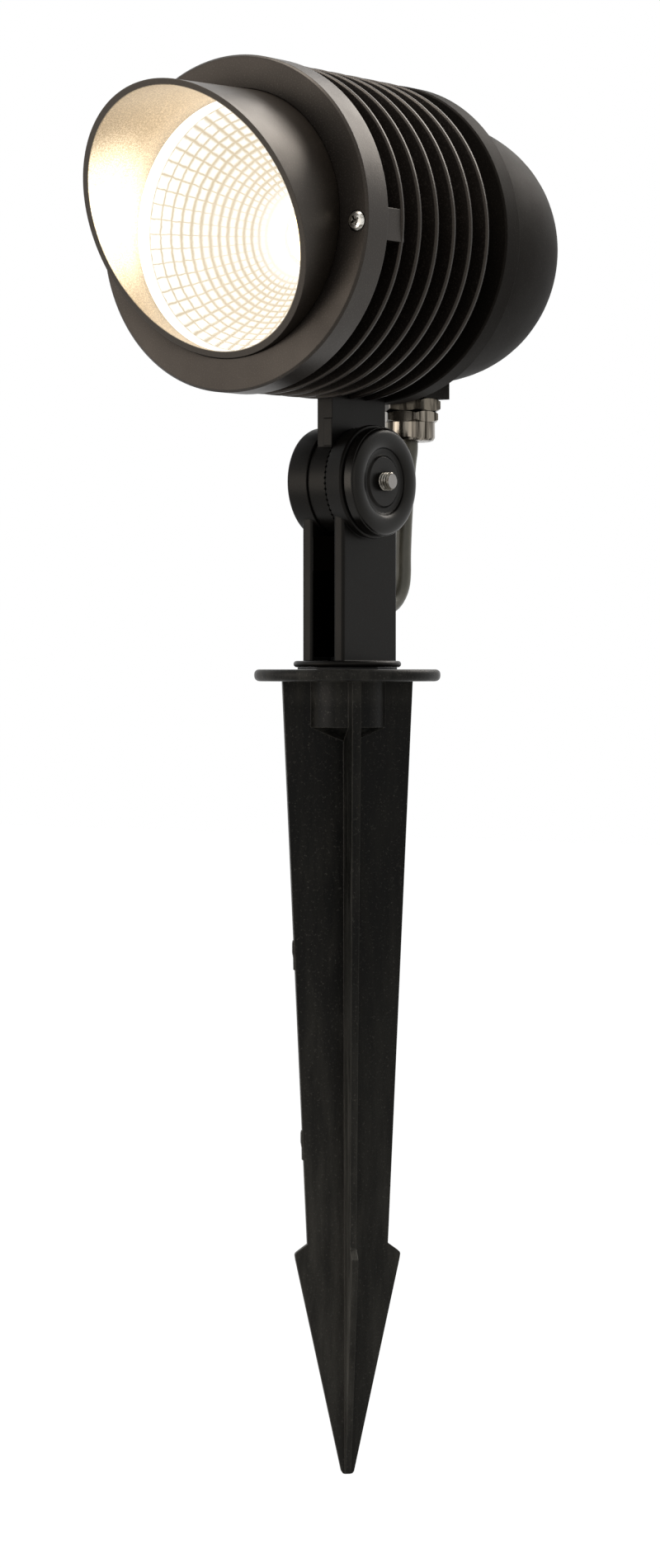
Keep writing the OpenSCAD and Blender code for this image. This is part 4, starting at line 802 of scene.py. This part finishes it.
bowl_inputs = {
    "Facets Round": FACETS_ROUND, "Facet Rows": FACET_ROWS, "Cuts": CUTS, "Throat Radius": THROAT_R,
    "Rim Radius": RIM_R, "Focus Depth": BOWL_D0, "Spread": BOWL_K, "Pillow": PILLOW,
    "Axis Height": AXIS_Z, "Material": bowl_film,
}
tree, keys, known = start_tree("faceted_bowl", bowl_inputs)
skin = rolled_grid(tree, known, BOWL_SUMS, ("aside", "forwards", "height"), "facet")
end_tree(tree, skin, known["Material"])
bowl = run_tree("faceted_bowl", tree, keys, bowl_inputs)

# %% [markdown]
# The facets alone are an open skin. The real bowl has a smooth collar at its rim, which shows
# through the glass as a white ring, and a back. Both are rings of points that start at the skin's
# own two edges, so that the mesh closes without a gap. The back follows the skin's parabola at
# the thickness of the wall.

# %% Collar and back of the bowl
EDGE_REACH = 0.2 * MM
WALL_MM = 1.2
COLLAR = [(40.5, 53.3), (41.45, 53.3), (41.45, 50.1), (38.95, 48.85)]
BACK = [(r + WALL_MM, (BOWL_D0 + (r * MM) ** 2 / BOWL_K) / MM) for r in (34.0, 28.0, 22.0, 16.0, 10.4)]


def close_bowl(mesh):
    """Closes the skin with the collar and the back, radius and depth in millimetres."""
    shape = bmesh.new()
    shape.from_mesh(mesh)
    skin = set(shape.faces)
    loose = {v for e in shape.edges if e.is_boundary for v in e.verts}

    def edge_at(radius):
        ring = [v for v in loose if abs(math.hypot(v.co.x, v.co.z - AXIS_Z) - radius) < EDGE_REACH]
        return sorted(ring, key=lambda v: math.atan2(v.co.z - AXIS_Z, v.co.x))

    throat, rim = edge_at(THROAT_R), edge_at(RIM_R)
    rings = [rim]
    for r, depth in COLLAR + BACK:
        rings.append([shape.verts.new((v.co.x / RIM_R * r * MM, -depth * MM,
                                       AXIS_Z + (v.co.z - AXIS_Z) / RIM_R * r * MM)) for v in rim])
    join_rings(shape, rings + [throat])
    layer = shape.loops.layers.uv["facet"]
    for face in (f for f in shape.faces if f not in skin):
        face.material_index = 1
        for loop in face.loops:
            loop[layer].uv = (0, 0)
    bmesh.ops.recalc_face_normals(shape, faces=shape.faces)
    for face in shape.faces:
        face.smooth = False
    shape.to_mesh(mesh)
    print("bowl edges left open:", sum(e.is_boundary for e in shape.edges),
          "points on throat and rim:", len(throat), len(rim))
    shape.free()


close_bowl(bowl.data)
bowl.data.materials.append(lit_plastic)
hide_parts("reflector")
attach(bowl, "head")

# %% [markdown]
# The bare end of the hinge bolt is turned with an M6 thread. A grid stands for the unrolled thread:
# its X runs once round and its Y along the bolt. The radius follows a triangle wave of the distance
# along the bolt less the turn, which is what makes the ridge a helix. The wave is clipped, so that
# crests and roots are flat. It fades in at the shank, and a chamfer cuts it down at the tip.

# %% Thread of the hinge bolt
BOLT_R, THREAD_FROM, BOLT_END = 3.0 * MM, 9.35 * MM, 18.4 * MM
THREAD_PITCH, THREAD_DEPTH, TIP_CHAMFER = 1.0 * MM, 0.5 * MM, 0.6 * MM
THREAD_SIDES, THREAD_ROWS = 48, 144
WAVE_GAIN, WAVE_CLIP = 1.3, 0.15

THREAD_SUMS = (
    ("points round", "ADD", "Sides", 1),
    ("points up", "ADD", "Rows", 1),
    ("length", "SUBTRACT", "End", "Start"),
    ("along", "MULTIPLY_ADD", "v", "length", "Start"),
    ("pitches", "DIVIDE", "along", "Pitch"),
    ("turns", "SUBTRACT", "pitches", "u"),
    ("part turn", "FRACT", "turns"),
    ("centred", "MULTIPLY_ADD", "part turn", 2, -1),
    ("wave", "ABSOLUTE", "centred"),
    ("tall wave", "MULTIPLY_ADD", "wave", WAVE_GAIN, -WAVE_CLIP),
    ("flat crest", "MAXIMUM", 0, "tall wave"),
    ("groove", "MINIMUM", 1, "flat crest"),
    ("from start", "SUBTRACT", "along", "Start"),
    ("pitches in", "DIVIDE", "from start", "Pitch"),
    ("fade", "MINIMUM", 1, "pitches in"),
    ("faded groove", "MULTIPLY", "groove", "fade"),
    ("groove cut", "MULTIPLY", "faded groove", "Depth"),
    ("chamfer from", "SUBTRACT", "End", "Chamfer"),
    ("into chamfer", "SUBTRACT", "along", "chamfer from"),
    ("chamfer cut", "MAXIMUM", 0, "into chamfer"),
    ("cut", "MAXIMUM", "groove cut", "chamfer cut"),
    ("radius", "SUBTRACT", "Radius", "cut"),
)

thread_inputs = {
    "Sides": THREAD_SIDES, "Rows": THREAD_ROWS, "Radius": BOLT_R, "Pitch": THREAD_PITCH,
    "Depth": THREAD_DEPTH, "Chamfer": TIP_CHAMFER, "Start": THREAD_FROM, "End": BOLT_END,
    "Axis Height": PIVOT_Z, "Material": stainless,
}
tree, keys, known = start_tree("bolt_thread", thread_inputs)
thread = rolled_grid(tree, known, THREAD_SUMS, ("along", "aside", "height"))
end_tree(tree, thread, known["Material"])
bolt = run_tree("threaded_bolt", tree, keys, thread_inputs)

# %% [markdown]
# The shank, the round head with its hexagon socket and the flat tip close the thread's two edges.
# They are circles and hexagons of as many points as the thread has, at places along X.

# %% Head and tip of the hinge bolt
HEAD_R, HEAD_FROM, HEAD_TO, HEAD_EDGE = 5.0 * MM, -10.85 * MM, -6.85 * MM, 0.3 * MM
SOCKET_R, SOCKET_FLOOR = 2.9 * MM, -8.55 * MM
SIXTH = math.radians(60)
TIP_REACH = 0.1 * MM


def close_bolt(mesh):
    """Closes the thread with the shank, the head and the tip."""
    shape = bmesh.new()
    shape.from_mesh(mesh)
    loose = [v for v in shape.verts if v.is_boundary]

    def turn_of(v):
        return math.atan2(v.co.z - PIVOT_Z, v.co.y)

    start, tip = (sorted((v for v in loose if abs(v.co.x - x) < TIP_REACH), key=turn_of)
                  for x in (THREAD_FROM, BOLT_END))
    angles = [turn_of(v) for v in start]

    def ring_at(x, radius, hexagon=False):
        ring = []
        for q in angles:
            reach = radius * math.cos(SIXTH / 2) / math.cos(q % SIXTH - SIXTH / 2) if hexagon else radius
            ring.append(shape.verts.new((x, reach * math.cos(q), PIVOT_Z + reach * math.sin(q))))
        return ring

    rings = [start] + [ring_at(*row) for row in (
        (HEAD_TO, BOLT_R), (HEAD_TO, HEAD_R - HEAD_EDGE), (HEAD_TO - HEAD_EDGE, HEAD_R),
        (HEAD_FROM + HEAD_EDGE, HEAD_R), (HEAD_FROM, HEAD_R - HEAD_EDGE),
        (HEAD_FROM, SOCKET_R, True), (SOCKET_FLOOR, SOCKET_R, True))]
    join_rings(shape, rings)
    for border in (rings[-1], tip):
        shape.faces.new(border)
    bmesh.ops.recalc_face_normals(shape, faces=shape.faces)
    shape.to_mesh(mesh)
    print("bolt edges left open:", sum(e.is_boundary for e in shape.edges))
    shape.free()


close_bolt(bolt.data)
smooth_edges(bolt.data)
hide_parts("hinge_bolt")
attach(bolt, body_of("hinge_bolt"))

# %% [markdown]
# The lead is one tube along a route that hangs behind the fork and turns forward between its arms.
# The points are the CAD route's own, in millimetres, and a smooth curve runs through them. A curve
# object holds it, and a tree sweeps a circle along it.

# %% Route of the lead
LEAD_R = 2.7 * MM
LEAD_BEND, LEAD_FLOOR, LEAD_BACK = 11.3, 24.4, 19.8
BEND_STEP = 22.5
STEPS_BETWEEN = 4


def bend_points(y, z, start, stop):
    """Points of one bend round the centre (y, z), from one angle to another."""
    count = round(abs(stop - start) / BEND_STEP)
    turns = [math.radians(start + (stop - start) * i / count) for i in range(count + 1)]
    return [(0, y + LEAD_BEND * math.cos(q), z + LEAD_BEND * math.sin(q)) for q in turns]


def spline_points(points, steps):
    """A smooth curve through the points, as in the CAD source."""
    pts, out = [Vector(p) * MM for p in points], []
    for i in range(len(pts) - 1):
        a, b, c, d = pts[max(i - 1, 0)], pts[i], pts[i + 1], pts[min(i + 2, len(pts) - 1)]
        for k in range(steps):
            t = k / steps
            out.append(0.5 * ((2 * b) + (c - a) * t + (2 * a - 5 * b + 4 * c - d) * t * t
                              + (3 * b - a - 3 * c + d) * t ** 3))
    return out + [pts[-1]]


LEAD_ROUTE = [(0, 35, 134), (0, 35, 120), (0, 35, 105), (0, 35, 92), (0, 35, 81), (0, 35, 77),
              (0, 34, 71.98), (0, 32.5, 60.01), (0, 31.6, 50.02), (0, 31.15, 42)]
LEAD_ROUTE += bend_points(LEAD_BACK, LEAD_FLOOR + LEAD_BEND, 0, -90)
LEAD_ROUTE += [(0, (LEAD_BACK + LEAD_BEND) / 2, LEAD_FLOOR)]
LEAD_ROUTE += bend_points(LEAD_BEND, LEAD_FLOOR - LEAD_BEND, 90, 180)
LEAD_ROUTE += [(0, 0, 8), (0, 0, 3), (0, 0, -1.6)]
lead_line = spline_points(LEAD_ROUTE, STEPS_BETWEEN)

# %% [markdown]
# The swept circle is half a percent smaller than the lead.

# %% Lead swept along its route
LEAD_SIDES, LEAD_FIT = 20, 0.995

lead_curve = bpy.data.curves.new("lead_route", "CURVE")
lead_curve.dimensions = "3D"
run = lead_curve.splines.new("POLY")
run.points.add(len(lead_line) - 1)
for point, co in zip(run.points, lead_line):
    point.co = (*co, 1)

lead_inputs = {"Radius": LEAD_R * LEAD_FIT, "Sides": LEAD_SIDES, "Material": sheath}
tree, keys, known = start_tree("swept_lead", lead_inputs)
ring = add(tree, "GeometryNodeCurvePrimitiveCircle",
           {"Resolution": known["Sides"], "Radius": known["Radius"]})
swept = add(tree, "GeometryNodeCurveToMesh",
            {"Curve": known["Geometry"], "Profile Curve": ring, "Fill Caps": True})
soft = add(tree, "GeometryNodeSetShadeSmooth", {"Geometry": swept})
end_tree(tree, soft, known["Material"])
lead = run_tree("lead_tube", tree, keys, lead_inputs, lead_curve)
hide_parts("lead")
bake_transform(lead)

# %% [markdown]
# The studio is plain: a pale floor under the spike's tip and a white surround. Both are white to
# the camera, and to what glossy metal and glass show of them, and dimmer as a source of light, so
# that white comes from the backdrop and not from more light on the lamp. Light Path tells the
# rays apart. The floor keeps a share of its paper look, which holds the lamp's faint shadow.

# %% Floor and surround
FLOOR_HALF = 4
FLOOR_Z = SPIKE_TIP_Z - 0.3 * MM
WHITE = (1, 1, 1, 1)


def direct_rays(tree):
    """1 for what the camera sees, itself or in metal and glass, 0 for light on the object."""
    rays = add(tree, "ShaderNodeLightPath")
    clear = add(tree, MATH, {0: (rays, "Is Glossy Ray"), 1: (rays, "Is Transmission Ray")},
                operation="MAXIMUM")
    return add(tree, MATH, {0: (rays, "Is Camera Ray"), 1: clear}, operation="MAXIMUM")


floor_mesh = bpy.data.meshes.new("studio_floor")
corners = [(x * FLOOR_HALF, y * FLOOR_HALF, FLOOR_Z) for x, y in ((-1, -1), (1, -1), (1, 1), (-1, 1))]
floor_mesh.from_pydata(corners, [], [(0, 1, 2, 3)])
floor = place_in_scene("studio_floor", floor_mesh)
studio_paper = bpy.data.materials.new("studio_paper")
tree = empty_tree(studio_paper)
matte = add(tree, "ShaderNodeBsdfDiffuse", {"Color": linear("8f8f8d")})
white = add(tree, "ShaderNodeEmission", {"Color": WHITE, "Strength": 1.22})
seen = add(tree, MATH, {0: direct_rays(tree), 1: 0.82}, operation="MULTIPLY")
paper = add(tree, "ShaderNodeMixShader", {0: seen, 1: matte, 2: white})
add(tree, "ShaderNodeOutputMaterial", {"Surface": paper})
floor_mesh.materials.append(studio_paper)

world = bpy.data.worlds.new("white_surround")
bpy.context.scene.world = world
tree = empty_tree(world)
dim = add(tree, "ShaderNodeBackground", {"Color": WHITE, "Strength": 0.22})
bright = add(tree, "ShaderNodeBackground", {"Color": WHITE, "Strength": 1.0})
both = add(tree, "ShaderNodeMixShader", {0: direct_rays(tree), 1: dim, 2: bright})
add(tree, "ShaderNodeOutputWorld", {"Surface": both})
print("floor at", round(FLOOR_Z, 4))

# %% [markdown]
# Four soft boxes light the lamp: one overhead, one high behind, whose reflection runs along the
# barrel, one at the front left, which lays a soft gloss on the bezel and the fork, and a weak one
# at the front right. A row holds a light's place, its aim, its size, its power and its colour.

# %% Studio lights
SOFT_BOXES = {
    "top_box": ((-0.10, -0.25, 1.15), (0, 0, 0.12), (0.55, 0.45), 9.0, "fff8f0"),
    "back_top": ((0.22, 1.05, 0.98), (0, 0, 0.12), (1.0, 0.75), 13.0, "fff8f0"),
    "front_left": ((-0.75, -1.25, 0.05), (0, 0, 0.10), (0.9, 0.9), 8.0, "fff4ea"),
    "front_right": ((1.15, -1.1, 0.25), (0, 0, 0.0), (0.9, 1.0), 1.4, "fff4ea"),
}


def aimed_light(name, kind, place, aim, power, colour):
    """A light at one place that points at another."""
    data = bpy.data.lights.new(name, kind)
    data.energy = power
    data.color = linear(colour)[:3]
    light = place_in_scene(name, data)
    light.location = place
    light.rotation_euler = (Vector(aim) - Vector(place)).to_track_quat("-Z", "Y").to_euler()
    return light


for name, (place, aim, size, power, colour) in SOFT_BOXES.items():
    box = aimed_light(name, "AREA", place, aim, power, colour).data
    box.shape = "RECTANGLE"
    box.size, box.size_y = size
print("soft boxes:", list(SOFT_BOXES))

# %% [markdown]
# The lamp's own light comes from two small lights inside the hood, which ride with the head and
# aren't seen themselves. A disc in front of the glass brightens the whole of the hood's inside, and
# a spot with a soft edge puts the bright patch on its left wall, as in the photograph.

# %% Light of the lamp
glow = aimed_light("lamp_glow", "AREA", (0, -57.6 * MM, AXIS_Z), (0, -90 * MM, AXIS_Z), 0.027, "ffe8ca")
glow.data.shape, glow.data.size = "DISK", 76 * MM
core = aimed_light("lamp_core", "SPOT", (20 * MM, -60 * MM, AXIS_Z),
                   (-42 * MM, -77 * MM, AXIS_Z + 4 * MM), 0.9, "ffffff")
core.data.spot_size, core.data.spot_blend = math.radians(54), 1.0
core.data.shadow_soft_size = 8 * MM
for light in (glow, core):
    light.visible_camera = False
    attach(light, "head")
